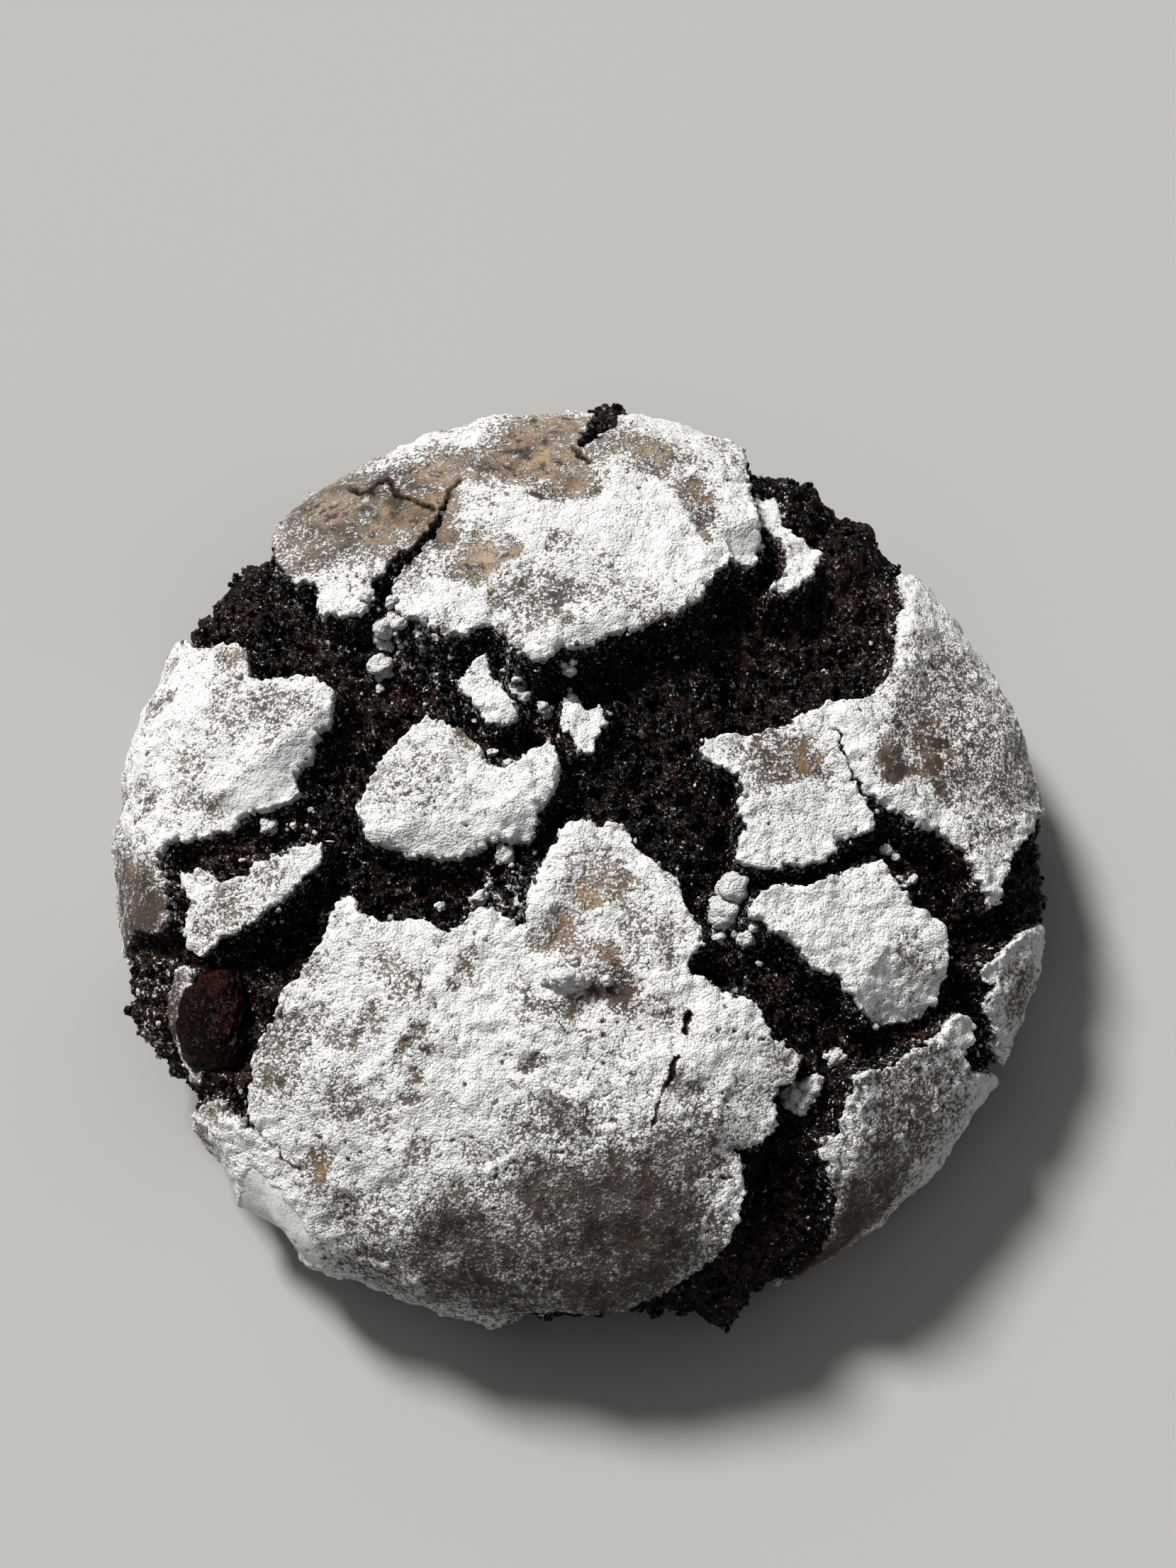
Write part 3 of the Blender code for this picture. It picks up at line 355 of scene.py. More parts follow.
    (-35.2, -12.9, 0.8, 0.45, 0.60),
    # the front plate's left flank, thickly coated, with a brown corner
    (-34.0, -29.0, 4.5, 1.35, 0.50), (-30.5, -35.0, 4.5, 1.30, 0.50),
    (-27.0, -40.0, 3.0, 1.05, 0.50), (-37.5, -31.5, 4.0, 1.15, 0.50),
    (-35.0, -37.0, 3.5, 0.90, 0.50), (-33.5, -25.4, 1.6, 0.50, 0.30),
    (-36.5, -27.5, 1.8, 0.40, 0.50),
]

# Hairline cracks of the crust: their corners, half-width and depth.
CRACKS = [
    ([(-19.8, 32.2), (-18.6, 30.9), (-17.9, 31.0), (-17.0, 31.7), (-16.0, 31.8), (-15.7, 30.7),
      (-15.2, 29.5), (-14.4, 29.0), (-13.2, 28.2), (-11.9, 27.4)], 0.19, 0.50),
    ([(-17.9, 31.0), (-17.4, 30.2)], 0.14, 0.34),
    ([(-10.8, 27.9), (-10.8, 29.0), (-9.9, 30.3)], 0.14, 0.36),
    ([(-0.6, 33.5), (-0.2, 32.6), (0.6, 31.4)], 0.17, 0.45),
    ([(-11.3, -11.5), (-12.2, -13.0), (-13.1, -14.3), (-13.4, -16.3)], 0.10, 0.10),
    ([(8.6, -18.0), (8.3, -18.8), (8.2, -19.8)], 0.18, 0.60),
    ([(7.7, -21.8), (7.2, -22.2), (7.1, -23.6)], 0.16, 0.40),
    ([(7.1, -23.6), (6.2, -24.6), (5.8, -26.3), (5.5, -27.2)], 0.10, 0.20),
    ([(-1.9, -19.3), (-1.3, -19.8), (0.5, -19.8)], 0.10, 0.10),
    ([(0.2, -26.0), (0.1, -27.6), (0.6, -28.2)], 0.10, 0.10),
    ([(-26.0, -28.0), (-25.4, -29.3), (-24.0, -30.2)], 0.08, 0.14),
]

# Sugar dust fallen on the crumb: place, radius, amount.
DUST = [
    (-6.0, -7.5, 3.0, 0.60), (-13.0, 15.0, 3.5, 0.50), (-6.5, 12.0, 2.5, 0.60),
    (15.0, -8.5, 2.0, 0.60), (21.0, -3.5, 1.5, 0.40), (-25.0, -2.0, 3.0, 0.35),
    (-40.8, -18.5, 3.6, 0.40), (-39.0, -12.5, 3.0, 0.34),
    (-6.0, 4.8, 1.5, 0.40), (13.0, -10.0, 3.0, 0.50),
]

# Where the crumb is browner and paler, beside the chip also painted light: place, radius, amount.
WARM_AND_LIT = [
    (-38.5, -12.0, 5.0, 1.0), (-40.0, -18.0, 5.0, 0.9), (-36.5, -24.0, 3.5, 0.7),
    (-29.6, -22.8, 1.6, 1.0), (-26.8, -15.4, 2.0, 1.1), (-30.0, -2.2, 3.2, 0.8),
    (-34.0, 21.5, 3.0, 0.8), (24.0, 24.0, 5.0, 0.5), (15.0, 19.0, 5.0, 0.3),
    (-16.0, 10.0, 4.0, 0.4), (16.0, -42.0, 6.0, 0.7), (14.0, -30.0, 4.0, 0.4),
    (40.0, -3.0, 3.0, 0.6), (-20.0, 14.0, 4.0, 0.2),
]

# Sugar lumps: place, radius.
LUMPS = [
    (12.9, -6.5, 1.30), (12.0, -9.0, 1.10), (14.0, -11.1, 0.8), (18.2, -24.6, 1.25),
    (19.5, -23.8, 1.0), (-27.1, 0.3, 0.65), (21.8, -21.2, 0.8), (-3.0, -15.5, 0.50),
    (-24.8, 0.2, 0.25), (-23.9, 0.5, 0.2), (-22.6, -0.9, 0.3), (-21.9, -1.2, 0.22),
    (-23.2, -0.2, 0.2), (-2.3, -15.5, 0.75), (-1.5, -15.6, 0.80), (-0.7, -15.6, 0.72),
    (0.0, -15.7, 0.50), (-0.9, -13.9, 0.4), (1.9, -15.6, 0.45), (26.0, -2.3, 0.55),
    (26.9, -2.9, 0.35), (27.7, -5.0, 0.55), (28.6, -4.8, 0.40), (25.0, -2.9, 0.3),
    (-8.9, -7.3, 0.70), (-3.0, 9.8, 0.7), (-0.8, 10.3, 0.7), (-16.8, 14.2, 0.95),
    (26.4, -5.6, 0.7), (-16.2, 17.0, 1.05), (-14.7, 16.3, 0.6), (-17.2, 18.8, 0.6),
    (-15.4, 18.3, 0.6), (-17.0, 12.6, 0.40), (-13.2, 15.8, 0.45), (-5.0, 11.3, 0.8),
    (-6.0, 4.9, 0.5), (-4.7, 5.3, 0.35), (-7.3, 5.2, 0.40), (-6.6, -3.5, 0.80),
    (-1.0, 12.0, 0.65), (-28.6, 13.3, 0.28), (-6.6, -6.4, 0.35), (-5.4, -7.6, 0.42),
    (-12.4, -7.6, 0.40), (11.4, -7.6, 0.5), (11.6, -11.0, 0.5),
]

# The chocolate chip: its middle in the skin, its half-lengths across, along and out of the
# skin, and how deep its middle lies.
CHIP_PLACE = (-34.2, -17.2)
CHIP_HALF = (3.5, 4.5, 2.6)
CHIP_DEPTH = 2.3

# ---------------------------------------------------------------- the stage

FLOOR_HALF = 1.2                        # half the floor's side, in metres
KEY_HEADING = (0.64, -0.77)             # the way the key light shines, seen from above
KEY_WIDTH = math.radians(14.0)          # of the key light in the sky
KEY_COLOUR = (1.0, 0.985, 0.96)
ROOM_COLOUR = (0.25, 0.247, 0.242)
CAMERA_TILT = math.radians(68.0)        # of the camera above the horizon
CAMERA_FOCUS = (0.0, -0.0025, 0.008)    # in metres
CAMERA_AWAY = 0.250                     # from the focus, in metres
CAMERA_SHIFT = (0.00046, 0.007485)      # of its aim, right of and above the focus, in metres
SENSOR_WIDTH = 36.0
NEAR_CLIP = 0.01

# ---------------------------------------------------------------- how the pieces are worked out

CRUST_STEP = 0.15        # grid of the crust plates
CRUMB_STEP = 0.26        # grid of the crumb
UNDERSIDE_STEP = 2.4     # between points of an underside
CRUMB_SHELL = 2.2        # thickness of the crumb's shell
CRUMB_LAP = 1.1          # how far the crumb runs in under the plates
CRUST_STOP = 1.0         # from the lower edge of the crust to the base
CLIFF = 3.4              # slope of the crumb's walls under the plates
SPECKS = 4200            # small crumbs of sugar
GRAINS = 3400            # loose dark crumbs
FAR = 9.0                # further than any depth or height here
LEAST_SLOPE = 0.3        # of a depth, so that nothing is divided by less
CHUNK = 4096             # places worked out at once

# Depth of the inner dough below the skin: on top, at the bulge and at the base.
CORE_DEPTH = (6.2, 2.8, 0.5)

# A broken edge from top to underside: how far each row stands out, and its share of the depth.
EDGE_ROWS = ((0.03, 0.12), (0.02, 0.38), (-0.08, 0.68), (0.0, 1.0))

# ---------------------------------------------------------------- the dome

UPPER_PARTS, LOWER_PARTS = 300, 100


def dome_profile():
    """Radius, height and run along the skin from the apex to the base's edge: a superellipse
    down to the bulge, then a quarter ellipse drawn in below it."""
    upper = np.linspace(0.0, math.pi / 2, UPPER_PARTS)
    lower = np.linspace(0.0, math.pi / 2, LOWER_PARTS)[1:]
    radius = np.concatenate([
        BULGE_RADIUS * np.sin(upper) ** (2 / DOME_POWER),
        BASE_RADIUS + (BULGE_RADIUS - BASE_RADIUS) * np.cos(lower),
    ])
    height = np.concatenate([
        BULGE_HEIGHT + (HEIGHT - BULGE_HEIGHT) * np.cos(upper) ** (2 / DOME_POWER),
        BULGE_HEIGHT * (1 - np.sin(lower)),
    ])
    run = np.concatenate([[0.0], np.cumsum(np.hypot(np.diff(radius), np.diff(height)))])
    return radius, height, run


PROFILE_RADIUS, PROFILE_HEIGHT, PROFILE_RUN = dome_profile()
SKIN_END = PROFILE_RUN[-1]
BULGE_RUN = PROFILE_RUN[UPPER_PARTS - 1]


def spline(a, b, c, d, t):
    """The smooth curve from b to c whose neighbours are a and d: a cubic in t whose slope at
    each end is half the step between the points on either side."""
    return 0.5 * (2 * b + (c - a) * t + (2 * a - 5 * b + 4 * c - d) * t ** 2
                  + (3 * b - a - 3 * c + d) * t ** 3)


def smoothstep(low, high, value):
    """0 below low, 1 above high, and a smooth S between: 3t squared less 2t cubed."""
    t = np.clip((value - low) / (high - low), 0.0, 1.0)
    return t * t * (3 - 2 * t)


def plan_scale(angle):
    """How much wider the plan is at this angle than a round one: a spline through the radii."""
    radii = np.array(PLAN_RADII) / BULGE_RADIUS
    count = len(radii)
    place = np.mod(angle / (2 * math.pi) * count, count)
    first = np.floor(place).astype(int)
    around = [radii[(first + k) % count] for k in (-1, 0, 1, 2)]
    return spline(*around, place - first)


def skin(p, q):
    """Points of the smooth dome in mm: the run from the apex looks up the profile's radius and
    height, and the direction of (p, q) is the direction in the plan."""
    run = np.hypot(p, q)
    angle = np.arctan2(q, p)
    out = np.interp(run, PROFILE_RUN, PROFILE_RADIUS) * plan_scale(angle)
    up = np.interp(run, PROFILE_RUN, PROFILE_HEIGHT)
    axis_x, axis_y = AXIS_PLACE
    return np.stack([axis_x + out * np.cos(angle), axis_y + out * np.sin(angle), up], axis=-1)


def skin_normal(p, q):
    """Outward unit normals of the dome: the cross product of its steps along p and q."""
    d = 0.3
    normal = np.cross(skin(p + d, q) - skin(p - d, q), skin(p, q + d) - skin(p, q - d))
    return normal / np.linalg.norm(normal, axis=-1, keepdims=True)


def raised(p, q, height):
    """Points of a surface in metres: the dome moved along its normal by the height, and never
    below the base's plane."""
    points = skin(p, q) + skin_normal(p, q) * height[:, None]
    points[:, 2] = np.maximum(points[:, 2], BASE_CLEARANCE)
    return points * MM


# ---------------------------------------------------------------- noise

TABLE = 1024
_dice = np.random.default_rng(20)
ORDER = _dice.permutation(TABLE)
TURNS = _dice.uniform(0, 2 * math.pi, TABLE)
SLOPE_X, SLOPE_Y = np.cos(TURNS), np.sin(TURNS)
JITTER_X, JITTER_Y = _dice.uniform(0.1, 0.9, TABLE), _dice.uniform(0.1, 0.9, TABLE)


def pick(column, row, seed):
    """A random table entry for each whole-number place."""
    first = ORDER[(column + 37 * seed) & (TABLE - 1)]
    return ORDER[(first + row + 101 * seed) & (TABLE - 1)]


def noise(x, y, seed):
    """Smooth noise, about -1 to 1: every whole-number place has a random slope, and a point
    blends what the four slopes around it give there."""
    column, row = np.floor(x).astype(np.int64), np.floor(y).astype(np.int64)
    u, v = x - column, y - row
    ease_u = u ** 3 * (u * (u * 6 - 15) + 10)
    ease_v = v ** 3 * (v * (v * 6 - 15) + 10)

    def corner(i, j):
        entry = pick(column + i, row + j, seed)
        return SLOPE_X[entry] * (u - i) + SLOPE_Y[entry] * (v - j)

    low = corner(0, 0) + ease_u * (corner(1, 0) - corner(0, 0))
    high = corner(0, 1) + ease_u * (corner(1, 1) - corner(0, 1))
    return 1.5 * (low + ease_v * (high - low))


def layered(p, q, size, seed, layers=3):
    """Noise of one size in mm plus layers of half the size and half the height each."""
    total = np.zeros(np.shape(p))
    for layer in range(layers):
        finer = 2 ** layer
        total = total + noise(p / size * finer, q / size * finer, seed + layer) / finer
    return total


def cells(p, q, size, seed):
    """Distance from each point to the nearest and second nearest of one random seed per square
    of a net, in squares, and a random number that belongs to the nearest."""
    x, y = p / size, q / size
    column, row = np.floor(x).astype(np.int64), np.floor(y).astype(np.int64)
    first = np.full(np.shape(p), FAR)
    second = np.full(np.shape(p), FAR)
    owner = np.zeros(np.shape(p))
    for i in (-1, 0, 1):
        for j in (-1, 0, 1):
            entry = pick(column + i, row + j, seed)
            away = np.hypot(column + i + JITTER_X[entry] - x, row + j + JITTER_Y[entry] - y)
            nearer = away < first
            second = np.where(nearer, first, np.minimum(second, away))
            owner = np.where(nearer, entry / TABLE, owner)
            first = np.where(nearer, away, first)
    return first, second, owner


# ---------------------------------------------------------------- outlines

FIELD_STEP = 0.25        # of a raster
FIELD_REACH = 4.5        # of a raster beyond its outlines


def smooth_outline(corners, step):
    """Points about one step apart on the closed smooth curve through the corners."""
    corners = [np.array(c) for c in corners]
    points = []
    for i in range(len(corners)):
        a, b, c, d = (corners[(i + k) % len(corners)] for k in (-1, 0, 1, 2))
        parts = max(1, round(float(np.linalg.norm(c - b)) / step))
        points += [spline(a, b, c, d, k / parts) for k in range(parts)]
    return np.array(points)


def chain_distance(start, end, p, q):
    """How far each point lies from the nearest of a set of straight pieces."""
    nearest = np.empty(len(p))
    span = end - start
    length = np.maximum((span ** 2).sum(1), 1e-12)
    for first in range(0, len(p), CHUNK):
        part = slice(first, first + CHUNK)
        away_p = p[part, None] - start[:, 0]
        away_q = q[part, None] - start[:, 1]
        along = np.clip((away_p * span[:, 0] + away_q * span[:, 1]) / length, 0.0, 1.0)
        square = (away_p - along * span[:, 0]) ** 2 + (away_q - along * span[:, 1]) ** 2
        nearest[part] = np.sqrt(square.min(axis=1))
    return nearest


def is_inside(outline, p, q):
    """Which points lie inside a closed outline: those with an odd number of its sides to one
    side of them."""
    found = np.empty(len(p), bool)
    p1, q1 = outline.T
    p2, q2 = np.roll(outline, -1, axis=0).T
    rise = np.where(q2 == q1, 1.0, q2 - q1)
    for first in range(0, len(p), CHUNK):
        part = slice(first, first + CHUNK)
        x, y = p[part, None], q[part, None]
        crossed = ((q1 > y) != (q2 > y)) & (x < (p2 - p1) * (y - q1) / rise + p1)
        found[part] = crossed.sum(axis=1) % 2 == 1
    return found


def distance_field(shapes):
    """A raster of how far inside a set of outlines each place is: its first place and values."""
    outlines = [smooth_outline(corners, 0.5) for corners in shapes]
    low = np.min([o.min(axis=0) for o in outlines], axis=0) - FIELD_REACH
    high = np.max([o.max(axis=0) for o in outlines], axis=0) + FIELD_REACH
    across = np.arange(low[0], high[0] + FIELD_STEP, FIELD_STEP)
    along = np.arange(low[1], high[1] + FIELD_STEP, FIELD_STEP)
    p, q = (grid.ravel() for grid in np.meshgrid(across, along))
    depth = np.full(len(p), -np.inf)
    for outline in outlines:
        far = chain_distance(outline, np.roll(outline, -1, axis=0), p, q)
        depth = np.maximum(depth, np.where(is_inside(outline, p, q), far, -far))
    return low, depth.reshape(len(along), len(across))


def looked_up(field, p, q):
    """Values of a raster between its places, blended from the four around each point."""
    low, values = field
    x = np.clip((p - low[0]) / FIELD_STEP, 0, values.shape[1] - 1.001)
    y = np.clip((q - low[1]) / FIELD_STEP, 0, values.shape[0] - 1.001)
    column, row = x.astype(int), y.astype(int)
    u, v = x - column, y - row
    near = values[row, column] * (1 - u) + values[row, column + 1] * u
    far = values[row + 1, column] * (1 - u) + values[row + 1, column + 1] * u
    return near * (1 - v) + far * v


FIELDS = {plate: distance_field(shapes) for plate, shapes in PLATES.items()}
CRACK_LINES = [(np.array(corners), half, deep) for corners, half, deep in CRACKS]


def within(field, p, q):
    """Which points lie on a raster."""
    low, values = field
    high = low + FIELD_STEP * (np.array(values.shape[::-1]) - 1)
    return (p > low[0]) & (p < high[0]) & (q > low[1]) & (q < high[1])


def strayed(p, q):
    """The places shifted by noise of three sizes, so that edges measured there are ragged."""
    shifts = []
    for seed in (60, 70):
        shift = 0.32 * noise(p / 2.3, q / 2.3, seed) + 0.26 * noise(p, q, seed + 1)
        shifts.append(shift + 0.24 * noise(p / 0.46, q / 0.46, seed + 2))
    return p + shifts[0], q + shifts[1]


def plate_depth(plate, p, q):
    """How far inside a plate's ragged edge each place is, negative outside it. Every plate stops
    at a wavy line just above the base."""
    depth = looked_up(FIELDS[plate], *strayed(p, q))
    depth = np.where(within(FIELDS[plate], p, q), depth, -FIELD_REACH)
    stop = SKIN_END - CRUST_STOP - np.hypot(p, q) + 0.5 * noise(p / 2.0, q / 2.0, 81)
    return np.minimum(depth, stop)


def crust_depth(p, q):
    """How far inside the nearest plate each place is."""
    depth = np.full(np.shape(p), -FIELD_REACH)
    for plate, field in FIELDS.items():
        near = within(field, p, q)
        depth[near] = np.maximum(depth[near], plate_depth(plate, p[near], q[near]))
    return depth


# ---------------------------------------------------------------- sugar, bake and cracks


def base_fade(p, q):
    """1 over the cookie, falling to 0 where the skin meets the flat base."""
    return np.clip((SKIN_END - np.hypot(p, q)) / 5.0, 0.0, 1.0)


def sugar_and_bake(p, q):
    """How much sugar lies on the crust and how dark it has baked. The coat thins towards the
    foot. Each thin patch pulls both towards its own values, with a bell-shaped weight over
    noise-shifted places. Clumps then add sugar, and small pits, where a fine noise is high, take
    it away."""
    shift_p = p + 0.9 * layered(p, q, 3.0, 91)
    shift_q = q + 0.9 * layered(p, q, 3.0, 95)
    sugar = FULL_COAT - FOOT_LOSS * smoothstep(BULGE_RUN - 1.0, SKIN_END, np.hypot(p, q))
    bake = np.full(np.shape(p), PLAIN_BAKE)
    for centre_p, centre_q, radius, left, dark in THIN:
        off = ((shift_p - centre_p) ** 2 + (shift_q - centre_q) ** 2) / radius ** 2
        weight = np.exp(-(off * 0.85) ** 1.5)
        sugar += (left - sugar) * weight
        bake += (dark - bake) * weight
    sugar += 0.12 * layered(p, q, 2.6, 85) + 0.28 * powder_clumps(p, q)
    pits = smoothstep(0.42, 0.80, noise(p / 0.62, q / 0.62, 87))
    sugar -= 0.85 * pits * smoothstep(-0.30, 0.35, noise(p / 4.4, q / 4.4, 88))
    return sugar, bake


def powder_clumps(p, q):
    """Soft clumps of the powder, about -1 to 1: noise of three sizes."""
    clumps = 0.55 * noise(p / 1.5, q / 1.5, 37) + 0.45 * noise(p / 0.8, q / 0.8, 36)
    return clumps + 0.35 * noise(p / 3.1, q / 3.1, 34)


def crack_depth(p, q):
    """Depth of the hairline cracks: a V with a narrow flat bottom across each crack's chain of
    straight pieces, measured at places shifted by noise of two sizes."""
    depth = np.zeros(np.shape(p))
    shift_p = p + 0.22 * noise(p / 0.9, q / 0.9, 41) + 0.1 * noise(p / 0.35, q / 0.35, 42)
    shift_q = q + 0.22 * noise(p / 0.9, q / 0.9, 43) + 0.1 * noise(p / 0.35, q / 0.35, 44)
    for chain, half, deep in CRACK_LINES:
        near = (p > chain[:, 0].min() - 1) & (p < chain[:, 0].max() + 1)
        near &= (q > chain[:, 1].min() - 1) & (q < chain[:, 1].max() + 1)
        off = chain_distance(chain[:-1], chain[1:], shift_p[near], shift_q[near])
        depth[near] = np.maximum(depth[near], deep * np.clip(1.3 - off / half, 0.0, 1.0))
    return depth


# ---------------------------------------------------------------- heights


def crust_level(plate, p, q):
    """A plate's height before its fine relief: its lift, two sizes of rolling noise, the crests
    of the ridges, and less the fall beyond its folds."""
    height = np.full(np.shape(p), LIFT[plate])
    height += 0.42 * noise(p / 9.0, q / 9.0, 30) + 0.30 * noise(p / 4.2, q / 4.2, 29)
    for ridged, (p1, q1), (p2, q2), crest, half_width in RIDGES:
        if ridged == plate:
            along, off = beside(p, q, p1, q1, p2, q2)
            share = np.clip(along, 0.0, 1.0)
            off = np.hypot(off, (along - share) * math.hypot(p2 - p1, q2 - q1))
            height += crest * (1 - smoothstep(0.0, half_width, off))
    height -= fold_fall(plate, p, q)[0]
    return height * base_fade(p, q)


def beside(p, q, p1, q1, p2, q2):
    """Where each place lies along a line, as a share of its length, and how far to its right."""
    span_p, span_q = p2 - p1, q2 - q1
    square = span_p ** 2 + span_q ** 2
    along = ((p - p1) * span_p + (q - q1) * span_q) / square
    return along, ((p - p1) * span_q - (q - q1) * span_p) / math.sqrt(square)


def fold_fall(plate, p, q):
    """How far a plate has fallen away on the right-hand side of its folds, which fade out past
    the ends of their lines, and how smooth it is there."""
    fall, smooth = np.zeros(np.shape(p)), np.zeros(np.shape(p))
    for folded, chain, slope, reach, sleek in FOLDS:
        if folded == plate:
            lines = [beside(p, q, *a, *b) for a, b in zip(chain, chain[1:])]
            fade = smoothstep(-0.12, 0.08, lines[0][0]) * (1 - smoothstep(0.92, 1.12, lines[-1][0]))
            side = np.min([side for _, side in lines], axis=0)
            fall += slope * np.clip(side, 0.0, reach) * fade
            ragged = side + 0.35 * noise(p / 1.2, q / 1.2, 28)
            sleek = sleek * fade * smoothstep(0.3, 0.8, ragged)
            smooth = np.maximum(smooth, sleek * (1 - smoothstep(reach, reach + 1.0, ragged)))
    return fall, smooth


def crust_top(plate, p, q, depth):
    """A plate's top: its level, rolling relief, powder in clumps where sugar lies thick, the
    cracks, and a rounded lip at its edge."""
    sugar, _ = sugar_and_bake(p, q)
    thick = smoothstep(0.45, 1.05, sugar)
    height = crust_level(plate, p, q) + 0.20 * layered(p, q, 6.0, 31)
    near, _, luck = cells(p + 0.2 * noise(p / 0.7, q / 0.7, 35), q, 0.62, 38)
    clumps = 0.26 * powder_clumps(p, q) + (0.03 + 0.09 * luck) * (0.45 - near)
    crumbly = 1 + 1.2 * np.clip(1 - depth / 1.3, 0.0, 1.0)
    powder = 0.20 * layered(p, q, 2.6, 33, 2) + crumbly * clumps
    powder = powder * (1 - 0.9 * fold_fall(plate, p, q)[1])
    height += thick * (powder + 0.22) + (1 - thick) * 0.04 * noise(p / 0.5, q / 0.5, 39)
    lip = np.clip(1 - depth / 0.3, 0.0, 1.3)
    return height - 0.10 * lip ** 2 - crack_depth(p, q)


def crumb_floor(p, q):
    """The crumb before its relief: a depth below the skin that lessens from the shoulder to the
    side, and knobs and dips, each a bell-shaped rise."""
    side = np.clip((np.hypot(p, q) - SHOULDER_RUN) / SHOULDER_REACH, 0.0, 1.0)
    height = -(CRUMB_DEPTH + (CRUMB_DEPTH_SIDE - CRUMB_DEPTH) * side)
    for knob_p, knob_q, radius, rise in KNOBS:
        height = height + rise * np.exp(-((p - knob_p) ** 2 + (q - knob_q) ** 2) / radius ** 2)
    return height


def crumb_relief(p, q):
    """Relief of the broken crumb: noise of five sizes, clefts along the lines where a further
    noise is 0, and pores of two sizes."""
    bent_p = p + 0.5 * noise(p / 1.6, q / 1.6, 51)
    bent_q = q + 0.5 * noise(p / 1.6, q / 1.6, 52)
    relief = np.zeros(np.shape(p))
    for size, rise, seed in CRUMB_WAVES:
        relief += rise * noise(bent_p / size, bent_q / size, seed)
    for size, depth, seed in CRUMB_CLEFTS:
        off = np.abs(noise(bent_p / size, bent_q / size, seed))
        relief -= depth * np.clip(1 - off / 0.12, 0, 1)
    for size, depth, seed in CRUMB_PORES:
        pore, _, owner = cells(p + 0.4 * noise(p, q, 58), q, size, seed)
        wide = 0.20 + 0.20 * owner
        relief -= depth * smoothstep(0.0, 1.0, 1 - pore / wide) * (owner > 0.35)
    return relief


def crumb_top(p, q):
    """The crumb: its floor and relief, raised to a steep wall beside each plate, and kept
    below each plate's top where it runs in under it."""
    height = crumb_floor(p, q) + crumb_relief(p, q)
    rough = 0.28 * layered(p, q, 1.4, 63) + 0.12 * noise(p / 0.4, q / 0.4, 66)
    cap = np.full(np.shape(p), FAR)
    for plate, field in FIELDS.items():
        near = within(field, p, q)
        depth = plate_depth(plate, p[near], q[near])
        level = crust_level(plate, p[near], q[near])
        wall = level - 0.42 * THICKNESS[plate]
        wall -= CLIFF * np.clip(-depth - 0.22 + rough[near], 0.0, 4.0)
        height[near] = np.where(depth > -3.4, np.maximum(height[near], wall), height[near])
        beneath = level - 0.62 * THICKNESS[plate]
        cap[near] = np.where(depth > 0, np.minimum(cap[near], beneath), cap[near])
    return np.minimum(height, cap) * base_fade(p, q)


def ground(p, q):
    """Height of whatever lies on top, and how far inside the crust each place is."""
    height = crumb_top(p, q)
    deepest = np.full(np.shape(p), -FIELD_REACH)
    for plate, field in FIELDS.items():
        near = np.flatnonzero(within(field, p, q))
        depth = plate_depth(plate, p[near], q[near])
        deepest[near] = np.maximum(deepest[near], depth)
        on = near[depth > 0]
        height[on] = crust_top(plate, p[on], q[on], depth[depth > 0])
    return height, deepest


# ---------------------------------------------------------------- meshes


def spread(kept, seedbed):
    """The part of a mask that can be reached from a seedbed by short steps, so that crumbs cut
    off by the ragged edge are dropped."""
    reached = seedbed & kept
    for _ in range(60):
        grown = reached.copy()
        grown[1:] |= reached[:-1]
        grown[:-1] |= reached[1:]
        grown[:, 1:] |= reached[:, :-1]
        grown[:, :-1] |= reached[:, 1:]
        reached = grown & kept
    return reached


def trimmed_grid(depth_at, box, step):
    """A net of triangles over the places where depth_at is above 0. Places within half a step
    of the edge slide onto it along the slope of the depth."""
    across = np.arange(box[0], box[2] + step, step)
    along = np.arange(box[1], box[3] + step, step)
    p, q = np.meshgrid(across, along)
    depth = depth_at(p.ravel(), q.ravel()).reshape(p.shape)
    slope_q, slope_p = np.gradient(depth, step)
    steep = np.maximum(np.hypot(slope_p, slope_q), LEAST_SLOPE)
    snap = np.abs(depth) < 0.5 * step * steep
    move = np.where(snap, -depth / steep ** 2, 0.0)
    move = np.clip(move, -0.49 * step / steep, 0.49 * step / steep)
    p, q = p + move * slope_p, q + move * slope_q
    core = min(1.0, 0.5 * float(depth.max()))
    kept = spread((depth > 0) | snap, depth > core)
    depth = np.where(snap, 0.0, depth)
    number = np.where(kept, np.cumsum(kept.ravel()).reshape(kept.shape) - 1, -1)
    a, b, c, d = number[:-1, :-1], number[:-1, 1:], number[1:, 1:], number[1:, :-1]
    odd = (np.add.outer(np.arange(a.shape[0]), np.arange(a.shape[1])) % 2 == 1)
    whole = (a >= 0) & (b >= 0) & (c >= 0) & (d >= 0)
    one, two = whole & odd, whole & ~odd
    found = [np.stack(t, 1) for t in (
        (a[one], b[one], c[one]), (a[one], c[one], d[one]),
        (a[two], b[two], d[two]), (b[two], c[two], d[two]),
    )]
    for missing, corners in enumerate(((b, c, d), (a, c, d), (a, b, d), (a, b, c))):
        gone = (a, b, c, d)[missing] < 0
        three = gone & (corners[0] >= 0) & (corners[1] >= 0) & (corners[2] >= 0)
        found.append(np.stack([k[three] for k in corners], 1))
    triangles = np.concatenate(found)
    used = np.zeros(int(kept.sum()), bool)
    used[triangles.ravel()] = True
    renumber = np.cumsum(used) - 1
    places = [field[kept][used] for field in (p, q, depth, slope_p, slope_q)]
    return places, renumber[triangles]


def open_edges(triangles, count):
    """The directed sides that only one triangle has."""
    sides = np.concatenate([triangles[:, [0, 1]], triangles[:, [1, 2]], triangles[:, [2, 0]]])
    key = sides[:, 0] * count + sides[:, 1]
    back = sides[:, 1] * count + sides[:, 0]
    return sides[~np.isin(key, back)]


